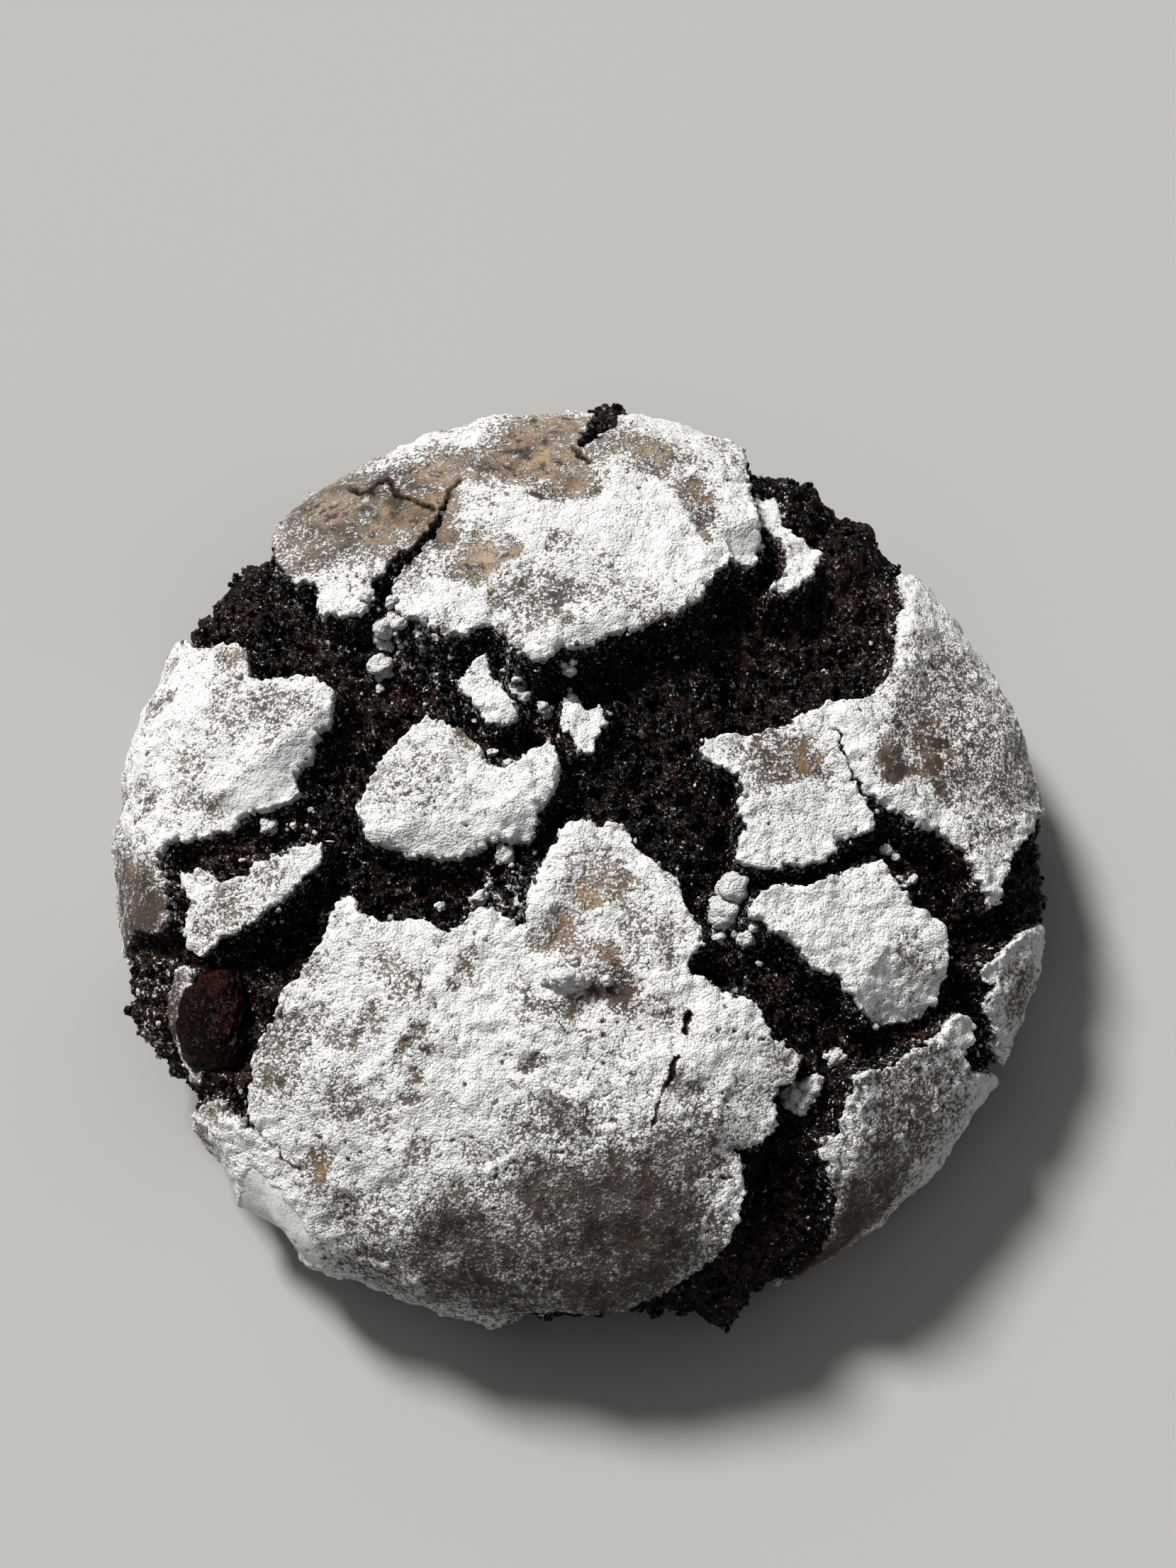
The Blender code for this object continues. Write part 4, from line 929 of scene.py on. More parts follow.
def underside(p, q, edges, depth_at, step):
    """Triangles that close a shell below: its edge joined to a few places inside it."""
    rim = np.unique(edges)
    low, high = (p.min(), q.min()), (p.max(), q.max())
    rows = np.arange(low[1], high[1], step * 0.866)
    columns = np.arange(low[0], high[0], step)
    inner_p, inner_q = np.meshgrid(columns, rows)
    inner_p = (inner_p + 0.5 * step * (np.arange(len(rows)) % 2)[:, None]).ravel()
    inner_q = inner_q.ravel()
    deep = depth_at(inner_p, inner_q) > 0.45 * step
    inner_p, inner_q = inner_p[deep], inner_q[deep]
    local = np.full(len(p), -1)
    local[rim] = np.arange(len(rim))
    places = np.stack([np.r_[p[rim], inner_p], np.r_[q[rim], inner_q]], 1)
    result = delaunay_2d_cdt(places.tolist(), local[edges].tolist(), [], 1, 1e-9)
    triangles = np.array(result[2])
    if len(result[0]) != len(places):
        raise RuntimeError("an underside's edge crosses itself")
    return rim, inner_p, inner_q, triangles


def closed_shell(depth_at, top_at, box, step, thickness, rough):
    """A closed shell: the top over a trimmed grid, a broken edge of a few rows that bulge out
    and drop, and an underside. Gives its places, heights, share of the way down, triangles."""
    (p, q, depth, slope_p, slope_q), top = trimmed_grid(depth_at, box, step)
    height = top_at(p, q, depth)
    edges = open_edges(top, len(p))
    rim, inner_p, inner_q, below = underside(p, q, edges, depth_at, UNDERSIDE_STEP)
    steep = np.maximum(np.hypot(slope_p[rim], slope_q[rim]), LEAST_SLOPE)
    out_p, out_q = -slope_p[rim] / steep, -slope_q[rim] / steep
    local = np.full(len(p), -1)
    local[rim] = np.arange(len(rim))
    ring = local[edges]
    all_p, all_q, all_h, all_down = [p], [q], [height], [np.zeros(len(p))]
    triangles = [top]
    upper, start = rim, len(p)
    for stands, share in EDGE_ROWS:
        wave = noise(p[rim] / 0.4 + 3 * share, q[rim] / 0.4 - 3 * share, 45)
        reach = (stands + rough * wave) * (1.0 if share < 1.0 else 0.0)
        lower = start + np.arange(len(rim))
        all_p.append(p[rim] + out_p * reach)
        all_q.append(q[rim] + out_q * reach)
        all_h.append(height[rim] - share * thickness * (1 + 0.2 * wave * (share < 1.0)))
        all_down.append(np.full(len(rim), share))
        a, b = upper[ring[:, 0]], upper[ring[:, 1]]
        a_low, b_low = lower[ring[:, 0]], lower[ring[:, 1]]
        triangles += [np.stack([b, a, a_low], 1), np.stack([b, a_low, b_low], 1)]
        upper, start = lower, start + len(rim)
    number = np.r_[upper, start + np.arange(len(inner_p))]
    all_p.append(inner_p)
    all_q.append(inner_q)
    all_h.append(top_at(inner_p, inner_q, np.full(len(inner_p), FAR)) - thickness)
    all_down.append(np.ones(len(inner_p)))
    triangles.append(number[below][:, ::-1])
    return (*(np.concatenate(part) for part in (all_p, all_q, all_h, all_down)),
            np.concatenate(triangles))


def mesh_of(name, points, triangles, marks):
    """A smooth mesh of triangles with a number for each point under each mark's name."""
    mesh = bpy.data.meshes.new(name)
    mesh.vertices.add(len(points))
    mesh.vertices.foreach_set("co", np.asarray(points, np.float32).ravel())
    mesh.loops.add(triangles.size)
    mesh.loops.foreach_set("vertex_index", triangles.astype(np.int32).ravel())
    mesh.polygons.add(len(triangles))
    mesh.polygons.foreach_set("loop_start", np.arange(0, triangles.size, 3, dtype=np.int32))
    mesh.update(calc_edges=True)
    for mark, values in marks.items():
        layer = mesh.attributes.new(mark, "FLOAT", "POINT")
        layer.data.foreach_set("value", np.asarray(values, np.float32))
    mesh.shade_smooth()
    return mesh


def add_piece(name, mesh, made_of, replaced):
    """Puts a mesh into the scene as a piece of the cookie."""
    for old in [o for o in bpy.data.objects if o.name == name]:
        bpy.data.objects.remove(old)
    mesh.materials.append(made_of)
    piece = bpy.data.objects.new(name, mesh)
    bpy.context.scene.collection.objects.link(piece)
    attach(piece, "root")
    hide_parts(replaced)
    print(name, len(mesh.polygons), "triangles")
    return piece


def fineness(step):
    """A grid's step, left as it is."""
    return step * 1.0


def plate_box(plate):
    """Lowest and highest p and q that a plate can reach."""
    corners = np.concatenate([np.array(c) for c in PLATES[plate]])
    low = np.maximum(corners.min(axis=0) - 1.5, -SKIN_END)
    high = np.minimum(corners.max(axis=0) + 1.5, SKIN_END)
    return (*low, *high)


def plate_mesh(plate):
    """One plate of the crust: its top over its outline, closed by a broken edge below."""
    def depth_at(p, q):
        return plate_depth(plate, p, q)

    def top_at(p, q, depth):
        return crust_top(plate, p, q, depth)

    p, q, height, down, triangles = closed_shell(
        depth_at, top_at, plate_box(plate), fineness(CRUST_STEP), THICKNESS[plate], rough=0.16)
    sugar, bake = sugar_and_bake(p, q)
    ragged = 0.35 * noise(p / 0.7, q / 0.7, 47)
    smooth = fold_fall(plate, p, q)[1]
    sugar = sugar + (1.5 - sugar) * smooth - 0.75 * smoothstep(0.35, 1.0, down + ragged)
    crack = np.clip(crack_depth(p, q) / 0.25, 0.0, 1.0)
    marks = {"sugar": sugar, "bake": np.maximum(bake, down), "crack": crack, "smooth": smooth,
             "warm": patches(RUST, p, q)}
    return mesh_of("crust_" + plate, raised(p, q, height), triangles, marks)


def crumb_mesh():
    """The crumb between the plates, which runs in a little under each of them."""
    def depth_at(p, q):
        return np.minimum(CRUMB_LAP - crust_depth(p, q), SKIN_END - 0.4 - np.hypot(p, q))

    def top_at(p, q, _):
        return crumb_top(p, q)

    box = (-SKIN_END, -SKIN_END, SKIN_END, SKIN_END)
    p, q, height, _, triangles = closed_shell(
        depth_at, top_at, box, fineness(CRUMB_STEP), CRUMB_SHELL, rough=0.0)
    away = -crust_depth(p, q)
    dust = np.maximum(0.30 * np.exp(-np.clip(away, 0, None) / 0.7), patches(DUST, p, q))
    # Beside the chip the warm patches also paint light on crumb facing the key light.
    marks = {"sugar": dust, "warm": patches(WARM_AND_LIT, p, q)}
    return mesh_of("crumb", raised(p, q, height), triangles, marks)


def patches(places, p, q):
    """The strongest of a set of soft round patches at each place, each a bell over its radius."""
    most = np.zeros(len(p))
    for centre_p, centre_q, radius, amount in places:
        off = np.hypot(p - centre_p, q - centre_q) / radius
        most = np.maximum(most, amount * np.exp(-off ** 2))
    return most


def core_mesh():
    """The baked dough inside: rings about the dome's axis, from a pole on top down the inside
    of the skin and in again over the flat base to a pole below."""
    turns = np.linspace(0, 2 * math.pi, 240, endpoint=False)
    upper, lower = np.linspace(2.0, BULGE_RUN, 26), np.linspace(BULGE_RUN, SKIN_END - 0.3, 12)
    runs = np.r_[0.6, upper[:-1], lower]
    ends = (0, SHOULDER_RUN, BULGE_RUN, SKIN_END)
    depth = np.interp(runs, ends, (CORE_DEPTH[0], *CORE_DEPTH))
    run, turn = (grid.ravel() for grid in np.meshgrid(runs, turns, indexing="ij"))
    p, q = run * np.cos(turn), run * np.sin(turn)
    side = skin(p, q) - skin_normal(p, q) * np.repeat(depth, len(turns))[:, None]
    side[:, 2] = np.maximum(side[:, 2], 0.25)
    axis = np.array([*AXIS_PLACE, 0.0])
    foot = side[-len(turns):]
    shares = np.linspace(1.0, 0.02, 34)
    base = [axis + (foot - axis) * (0.995 * share, 0.995 * share, 0.0) for share in shares]
    base = np.concatenate(base)
    base[:, 2] = 0.02 + 0.05 * np.abs(layered(base[:, 0], base[:, 1], 3.0, 77))
    rings = np.concatenate([side, base])
    count, sides = len(rings) // len(turns), len(turns)
    ring = np.arange(count - 1)[:, None] * sides
    here = np.arange(sides)[None, :]
    after = (here + 1) % sides
    a, b = (ring + here).ravel(), (ring + after).ravel()
    triangles = [np.stack([a, a + sides, b + sides], 1), np.stack([a, b + sides, b], 1)]
    top, bottom = len(rings), len(rings) + 1
    poles = [[*AXIS_PLACE, HEIGHT - CORE_DEPTH[0]], [*AXIS_PLACE, BASE_CLEARANCE]]
    last = (count - 1) * sides
    first_ring, last_ring = here.ravel(), last + here.ravel()
    triangles.append(np.stack([np.full(sides, top), first_ring, after.ravel()], 1))
    triangles.append(np.stack([np.full(sides, bottom), last + after.ravel(), last_ring], 1))
    points = np.concatenate([rings, poles])
    return mesh_of("baked_base", points * MM, np.concatenate(triangles), {})


def round_net(parts):
    """The corners and triangles of a 20-sided ball whose sides are each cut into parts squared,
    all on the unit ball."""
    golden = (1 + math.sqrt(5)) / 2
    corners = np.array([
        (-1, golden, 0), (1, golden, 0), (-1, -golden, 0), (1, -golden, 0), (0, -1, golden),
        (0, 1, golden), (0, -1, -golden), (0, 1, -golden), (golden, 0, -1), (golden, 0, 1),
        (-golden, 0, -1), (-golden, 0, 1)], float)
    sides = np.array([
        (0, 11, 5), (0, 5, 1), (0, 1, 7), (0, 7, 10), (0, 10, 11), (1, 5, 9), (5, 11, 4),
        (11, 10, 2), (10, 7, 6), (7, 1, 8), (3, 9, 4), (3, 4, 2), (3, 2, 6), (3, 6, 8),
        (3, 8, 9), (4, 9, 5), (2, 4, 11), (6, 2, 10), (8, 6, 7), (9, 8, 1)])
    points, triangles = [], []
    for a, b, c in corners[sides]:
        start = sum(len(part) for part in points)
        rows = []
        for i in range(parts + 1):
            share = np.linspace(0, 1, parts - i + 1)[:, None] if i < parts else np.zeros((1, 1))
            left, right = a + (c - a) * i / parts, b + (c - b) * i / parts
            rows.append(left + (right - left) * share)
        offset = np.cumsum([0] + [len(row) for row in rows])
        for i in range(parts):
            for j in range(parts - i):
                low, high = start + offset[i] + j, start + offset[i + 1] + j
                triangles.append((low, low + 1, high))
                if j < parts - i - 1:
                    triangles.append((low + 1, high + 1, high))
        points.append(np.concatenate(rows))
    points = np.concatenate(points)
    points /= np.linalg.norm(points, axis=1, keepdims=True)
    _, first, merged = np.unique(points.round(6), axis=0, return_index=True, return_inverse=True)
    return points[first], merged.ravel()[np.array(triangles)]


def bumpy_balls(name, p, q, radius, sink, flat, parts, rough, uneven, seed, pale):
    """Rough balls standing on the ground. Each is a unit ball whose radius varies by noise over
    its three directions, stretched unevenly, flattened along the skin's normal and sunk into the
    ground."""
    unit, sides = round_net(parts)
    height, _ = ground(p, q)
    centre = skin(p, q) + skin_normal(p, q) * (height + radius * (flat - sink))[:, None]
    normal = skin_normal(p, q)
    dice = np.random.default_rng(seed)
    shift = dice.uniform(0, 400, (len(p), 1))
    size = np.ones((len(p), len(unit)))
    x, y, z = unit.T
    for grain, rise in ((0.9, 0.30), (0.4, 0.15)):
        wave = noise(x / grain + shift, (y + 0.7 * z) / grain + shift, seed)
        wave += noise(z / grain - shift, (y - 0.7 * x) / grain, seed + 1)
        size += rough * rise * wave
    stretch = dice.uniform(1 - uneven, 1 + uneven, (len(p), 1, 3))
    body = unit[None] * stretch * size[..., None] * radius[:, None, None]
    out = (body * normal[:, None]).sum(-1, keepdims=True)
    points = centre[:, None] + body - (1 - flat) * out * normal[:, None]
    points[..., 2] = np.maximum(points[..., 2], BASE_CLEARANCE)
    count = len(unit)
    triangles = sides[None] + (np.arange(len(p)) * count)[:, None, None]
    marks = {"pale": np.repeat(pale, count)}
    return mesh_of(name, points.reshape(-1, 3) * MM, triangles.reshape(-1, 3), marks)


def lumps_mesh():
    """The larger sugar lumps: finely netted rough balls, each with smaller ones pressed into
    its sides."""
    dice = np.random.default_rng(14)
    place_p, place_q, size = [], [], []
    for p, q, radius in LUMPS:
        place_p.append(p)
        place_q.append(q)
        size.append(radius)
        for _ in range(5):
            turn, share = dice.uniform(0, 2 * math.pi), dice.uniform(0.3, 0.6)
            place_p.append(p + math.cos(turn) * radius * 0.8)
            place_q.append(q + math.sin(turn) * radius * 0.8)
            size.append(radius * share)
    size = np.array(size)
    return bumpy_balls("sugar_lumps", np.array(place_p), np.array(place_q), size, sink=0.1,
                       flat=0.85, parts=5, rough=0.9, uneven=0.2, seed=15,
                       pale=np.ones(len(size)))


def scattered(count, seed, wanted):
    """Random places on the skin, kept with the chance that wanted gives at each of them."""
    dice = np.random.default_rng(seed)
    p, q = dice.uniform(-SKIN_END, SKIN_END, (2, count * 30))
    on = np.hypot(p, q) < SKIN_END - 3.0
    p, q = p[on], q[on]
    kept = dice.uniform(size=len(p)) < wanted(p, q)
    return p[kept][:count], q[kept][:count], dice


def specks_mesh(count):
    """Small crumbs of sugar, mostly tiny: on the crumb close to the plates' edges and where dust
    has fallen."""
    def wanted(p, q):
        depth = crust_depth(p, q)
        chance = 0.25 * np.exp(-np.abs(depth) / 0.6) + 0.004
        return np.where(depth > 0.2, 0.0, np.maximum(chance, 0.9 * patches(DUST, p, q)))

    p, q, dice = scattered(count, 16, wanted)
    radius = 0.05 + 0.24 * dice.uniform(size=len(p)) ** 4
    pale = np.clip(1.4 * dice.uniform(size=len(p)) - 0.4 + radius, 0.0, 1.0)
    return bumpy_balls("sugar_specks", p, q, radius, sink=0.2, flat=0.75, parts=1, rough=1.3,
                       uneven=0.5, seed=17, pale=pale)


def grains_mesh(count):
    """Loose dark crumbs lying in the cracks between the plates."""
    def wanted(p, q):
        return np.where(crust_depth(p, q) < -0.3, 0.5, 0.0)

    p, q, dice = scattered(count, 18, wanted)
    radius = 0.12 + 0.38 * dice.uniform(size=len(p)) ** 3
    return bumpy_balls("crumb_grains", p, q, radius, sink=0.35, flat=0.85, parts=1, rough=1.2,
                       uneven=0.4, seed=19, pale=np.zeros(len(p)))


def chip_mesh():
    """The chocolate chip, half melted: a ball whose plan is squared off, wider at one end, with
    its top sunk inside a soft rim, and dents from noise over its surface."""
    p, q = (np.array([c]) for c in CHIP_PLACE)
    out = skin_normal(p, q)[0]
    along = skin(p, q + 0.5)[0] - skin(p, q - 0.5)[0]
    along -= out * (along @ out)
    along /= np.linalg.norm(along)
    across = np.cross(along, out)
    centre = skin(p, q)[0] - out * CHIP_DEPTH
    unit, triangles = round_net(40)
    x, y, z = unit.T
    plan = np.hypot(x, y)
    square = plan / np.maximum((np.abs(x) ** 3 + np.abs(y) ** 3) ** (1 / 3), 1e-6)
    square = 1 + 0.8 * (square - 1)
    dent = (0.040 * noise(x * 1.7, (y + 0.7 * z) * 1.7, 71) + 0.034 * noise(x * 5, (y + z) * 5, 72)
            + 0.016 * noise(x * 13, (y + z) * 13, 73))
    sunk = 0.14 * np.clip(z, 0, 1) * np.exp(-((x + 0.2) / 0.6) ** 2 - ((y + 0.25) / 0.6) ** 2)
    body = (across * (CHIP_HALF[0] * (1.0 - 0.06 * y) * (square + dent) * x)[:, None]
            + out * (CHIP_HALF[2] * ((1 + dent) * z - sunk))[:, None]
            + along * (CHIP_HALF[1] * (square + dent) * y)[:, None])
    if np.dot(np.cross(across, along), out) < 0:
        triangles = triangles[:, ::-1]
    # The rim mark: the melted edge, plus painted light on the side towards the key light.
    rim = smoothstep(0.45, 0.75, plan) + 0.35 * (y - 0.4 * x)
    return mesh_of("chip", (centre + body) * MM, triangles, {"rim": rim})


# ---------------------------------------------------------------- finishes


# Depth of each finish's fine relief, in metres.
FINE_RELIEF = {"crust": 0.00022, "crumb": 0.0005, "sugar": 0.0003, "chip": 0.00045,
               "base": 0.0004}


class Wiring:
    """Adds nodes to a tree and joins them: a socket given a socket is linked to it, and one
    given a number or a colour takes it."""

    def __init__(self, tree):
        self.tree = tree

    def feed(self, inputs, values):
        """Gives inputs their values, by name or number."""
        for name, value in dict(values).items():
            if isinstance(value, bpy.types.NodeSocket):
                self.tree.links.new(value, inputs[name])
            else:
                inputs[name].default_value = value

    def add(self, kind, sockets=(), **settings):
        """A new node with these settings and input values."""
        node = self.tree.nodes.new(kind)
        for name, value in settings.items():
            setattr(node, name, value)
        self.feed(node.inputs, sockets)
        return node

    def noise(self, place, scale, detail=2.0, roughness=0.55):
        """Soft noise, 0 to 1, with so many of its swells in a metre."""
        sockets = {"Vector": place, "Scale": scale, "Detail": detail, "Roughness": roughness}
        return self.add("ShaderNodeTexNoise", sockets).outputs["Fac"]

    def math(self, operation, a, b=0.0, c=0.0):
        """What a sum of two or three numbers comes to."""
        sockets = {0: a, 1: b, 2: c}
        return self.add("ShaderNodeMath", sockets, operation=operation).outputs[0]

    def ramp(self, value, low, high, to_low=0.0, to_high=1.0):
        """A smooth S from one number to another as the value goes from low to high."""
        sockets = {"Value": value, "From Min": low, "From Max": high,
                   "To Min": to_low, "To Max": to_high}
        return self.add("ShaderNodeMapRange", sockets, interpolation_type="SMOOTHSTEP").outputs[0]

    def mix(self, share, a, b):
        """The first colour with a share of the second in it."""
        return self.add("ShaderNodeMix", {0: share, 6: a, 7: b}, data_type="RGBA").outputs[2]

    def mark(self, name):
        """The piece's own number under this name, 0 where it has none."""
        return self.add("ShaderNodeAttribute", attribute_name=name).outputs["Fac"]

    def place(self):
        """Where a point of the piece is, in metres."""
        return self.add("ShaderNodeTexCoord").outputs["Object"]

    def bump(self, height, strength, distance):
        """Normals tilted by a height, whose 1 stands this distance out."""
        sockets = {"Height": height, "Strength": strength, "Distance": distance}
        return self.add("ShaderNodeBump", sockets).outputs["Normal"]


def new_group(name, inputs, outputs):
    """An empty shader node group with these number or vector inputs and number outputs."""
    for old in [g for g in bpy.data.node_groups if g.name == name]:
        bpy.data.node_groups.remove(old)
    group = bpy.data.node_groups.new(name, "ShaderNodeTree")
    for label, kind, value in inputs:
        socket = group.interface.new_socket(label, in_out="INPUT", socket_type=kind)
        if value is not None:
            socket.default_value = value
    for label in outputs:
        group.interface.new_socket(label, in_out="OUTPUT", socket_type="NodeSocketFloat")
    wiring = Wiring(group)
    taken = wiring.add("NodeGroupInput").outputs
    given = wiring.add("NodeGroupOutput").inputs
    return group, wiring, taken, given


def powder_group():
    """Icing sugar dusted over something. It lies in grains, the cells of a random net, each of
    which shows when the coat's amount, the grain's own luck and a soft noise add up to enough:
    that's Mask. Height is round over each grain, and Shade is lower where the coat is thin."""
    number, vector = "NodeSocketFloat", "NodeSocketVector"
    group, wiring, taken, given = new_group("powder", [
        ("Place", vector, None), ("Coat", number, 1.0),
        ("Grain Scale", number, 4700.0), ("Clump Scale", number, 1500.0),
    ], ["Mask", "Height", "Shade"])
    net = wiring.add("ShaderNodeTexVoronoi", {"Vector": taken["Place"],
                                              "Scale": taken["Grain Scale"]}).outputs
    luck = wiring.add("ShaderNodeSeparateColor", {0: net["Color"]}).outputs[0]
    away = net["Distance"]
    clump = wiring.noise(taken["Place"], taken["Clump Scale"], 4.0, 0.7)
    stray = wiring.math("MULTIPLY_ADD", wiring.math("SUBTRACT", luck, 0.5), 0.9, 0.0)
    stray = wiring.math("MULTIPLY_ADD", wiring.math("SUBTRACT", clump, 0.5), 2.2, stray)
    stray = wiring.math("MULTIPLY_ADD", wiring.math("SUBTRACT", 0.5, away), 0.6, stray)
    amount = wiring.math("ADD", taken["Coat"], stray)
    grain = wiring.math("MULTIPLY_ADD", away, away, wiring.math("MULTIPLY", luck, 0.6))
    grain = wiring.math("MULTIPLY", grain, -0.5)
    wiring.feed(given, {"Mask": wiring.ramp(amount, 0.20, 0.72),
                        "Height": wiring.math("MULTIPLY_ADD", clump, 1.4, grain),
                        "Shade": wiring.ramp(amount, 0.45, 1.40, 0.72, 1.0)})
    return group


def grit_group():
    """Broken baked crumb. Height is soft noise and small facets, each a plane tilted its own
    way; Light is where the crumb is paler, Red where it's redder."""
    group, wiring, taken, given = new_group("grit", [
        ("Place", "NodeSocketVector", None), ("Scale", "NodeSocketFloat", 1.0),
    ], ["Height", "Light", "Red"])
    place = wiring.add("ShaderNodeVectorMath", {0: taken["Place"], "Scale": taken["Scale"]},
                       operation="SCALE").outputs[0]
    height = wiring.math("MULTIPLY_ADD", wiring.noise(place, 1300.0, 4.0, 0.65), 0.9, 0.0)
    for size, weight in ((3300.0, 0.85), (1700.0, 0.45)):
        net = wiring.add("ShaderNodeTexVoronoi", {"Vector": place, "Scale": size}).outputs
        away = wiring.add("ShaderNodeVectorMath", {0: place, 1: net["Position"]},
                          operation="SUBTRACT").outputs[0]
        tilt = wiring.add("ShaderNodeVectorMath", {0: net["Color"], 1: (0.5, 0.5, 0.5)},
                          operation="SUBTRACT").outputs[0]
        plane = wiring.add("ShaderNodeVectorMath", {0: away, 1: tilt}, operation="DOT_PRODUCT")
        height = wiring.math("MULTIPLY_ADD", plane.outputs["Value"], size * weight, height)
    light, red = wiring.noise(place, 620.0, 4.0, 0.7), wiring.noise(place, 280.0, 3.0, 0.6)
    wiring.feed(given, {"Height": height, "Light": wiring.ramp(light, 0.42, 0.68),
                        "Red": wiring.ramp(red, 0.56, 0.70)})
    return group


def new_finish(name):
    """An empty material, its wiring and its shader."""
    for old in [m for m in bpy.data.materials if m.name == name]:
        bpy.data.materials.remove(old)
    made = bpy.data.materials.new(name)
    made.use_nodes = True
    shader = made.node_tree.nodes["Principled BSDF"]
    return made, Wiring(made.node_tree), shader


def rgba(colour, share=1.0):
    """A colour dimmed to a share of its light, with the alpha that sockets want."""
    return (*(share * part for part in colour), 1.0)


def use_group(wiring, name, **sockets):
    """Places a node group in a material and gives its outputs."""
    return wiring.add("ShaderNodeGroup", sockets, node_tree=bpy.data.node_groups[name]).outputs


def crust_finish(colours):
    """Baked crust under icing sugar: tan to toasted brown in blotches with dark specks, dark in
    its cracks, and white wherever the powder lies. The white is dimmed as painted shade where
    the crust is most toasted, above all on the front plate's foot, and a little on fold faces."""
    made, wiring, shader = new_finish("sugared_crust")
    place = wiring.place()
    blotch = wiring.noise(place, 420.0, 4.0, 0.6)
    baked, warm = wiring.mark("bake"), wiring.mark("warm")
    tone = wiring.math("MULTIPLY_ADD", wiring.math("SUBTRACT", blotch, 0.5), 1.6, baked)
    tan = wiring.mix(warm, rgba(colours.crust_tan), rgba(colours.rust_tan))
    dark = wiring.mix(warm, rgba(colours.crust_dark), rgba(colours.rust_dark))
    bare = wiring.mix(wiring.ramp(tone, 0.0, 1.0), tan, dark)
    spot = wiring.noise(place, 1150.0, 4.0, 0.7)
    crowd = wiring.ramp(wiring.noise(place, 260.0, 2.0, 0.6), 0.38, 0.62, 0.70, 0.50)
    crowd = wiring.math("SUBTRACT", crowd, wiring.ramp(baked, 0.85, 1.05, 0.0, 0.05))
    speck = wiring.ramp(wiring.math("SUBTRACT", spot, crowd), -0.02, 0.07, 0.0, 0.9)
    bare = wiring.mix(speck, bare, rgba(colours.crust_speck))
    crack = wiring.mark("crack")
    coat = wiring.math("MULTIPLY_ADD", crack, -2.5, wiring.mark("sugar"))
    coat = wiring.math("MULTIPLY_ADD", speck, -0.12, coat)
    film = wiring.ramp(coat, 0.10, 1.00, 0.02, 0.40)
    bare = wiring.mix(film, bare, rgba(colours.sugar_film))
    bare = wiring.mix(crack, bare, rgba(colours.crack))
    powder = use_group(wiring, "powder", Place=place, Coat=coat)
    mask = powder["Mask"]
    smooth = wiring.mark("smooth")
    # A touch of painted shade on the smooth faces of the folds.
    shade = wiring.math("MULTIPLY_ADD", smooth, -0.03, powder["Shade"])
    shade = wiring.math("MULTIPLY", shade, wiring.ramp(coat, 0.05, 0.75, 0.66, 1.0))
    # Painted shade: the white dims where the crust is most toasted, most of all on the foot.
    painted_shade = wiring.ramp(baked, 0.82, 1.06, 0.0, 0.36)
    shade = wiring.math("SUBTRACT", shade, painted_shade)
    white = wiring.mix(shade, rgba(colours.sugar, 0.0), rgba(colours.sugar))
    height = wiring.math("MULTIPLY", powder["Height"], mask)
    height = wiring.math("MULTIPLY_ADD", mask, 0.35, height)
    height = wiring.math("MULTIPLY", height, wiring.ramp(smooth, 0.0, 1.0, 1.0, 0.2))
    wiring.feed(shader.inputs, {
        "Base Color": wiring.mix(mask, bare, white),
        "Roughness": wiring.ramp(mask, 0.0, 1.0, 0.58, 0.95),
        "Specular IOR Level": 0.3,
        "Normal": wiring.bump(height, 1.0, FINE_RELIEF["crust"]),
    })
    return made


def crumb_finish(colours):
    """Dark moist crumb: nearly black to brown with redder spots, rough in places and shiny in
    others, with sugar dust on it."""
    made, wiring, shader = new_finish("crumb")
    place = wiring.place()
    grit = use_group(wiring, "grit", Place=place)
    # The warm mark: browner, paler, redder crumb; beside the chip, partly painted light.
    warm = wiring.mark("warm")
    light = wiring.math("MULTIPLY_ADD", warm, 0.45, grit["Light"])
    pale = wiring.mix(warm, rgba(colours.crumb_light), rgba(colours.crumb_brown_and_lit))
    colour = wiring.mix(light, rgba(colours.crumb_dark), pale)
    red = wiring.math("MULTIPLY_ADD", warm, 0.55, grit["Red"])
    colour = wiring.mix(red, colour, rgba(colours.crumb_red))
    coat = wiring.math("SUBTRACT", wiring.mark("sugar"), 0.20)
    powder = use_group(wiring, "powder", Place=place, Coat=coat)
    moist = wiring.ramp(wiring.noise(place, 420.0, 3.0, 0.6), 0.40, 0.60, 0.18, 0.38)
    wiring.feed(shader.inputs, {
        "Base Color": wiring.mix(powder["Mask"], colour, rgba(colours.sugar, 0.8)),
        "Roughness": wiring.math("MULTIPLY_ADD", powder["Mask"], 0.5, moist),
        "Specular IOR Level": 0.36,
        "Normal": wiring.bump(grit["Height"], 1.0, FINE_RELIEF["crumb"]),
    })
    return made


def sugar_finish(colours):
    """Pressed icing sugar: white and quite matt, with a fine grain. Small specks are greyer."""
    made, wiring, shader = new_finish("sugar")
    place = wiring.place()
    powder = use_group(wiring, "powder", Place=place, Coat=1.6)
    white = wiring.mix(wiring.noise(place, 2500.0), rgba(colours.sugar, 0.86),
                       rgba(colours.sugar))
    wiring.feed(shader.inputs, {
        "Base Color": wiring.mix(wiring.mark("pale"), rgba(colours.damp_sugar), white),
        "Roughness": 0.8,
        "Specular IOR Level": 0.3,
        "Normal": wiring.bump(powder["Height"], 1.0, FINE_RELIEF["sugar"]),
    })
    return made


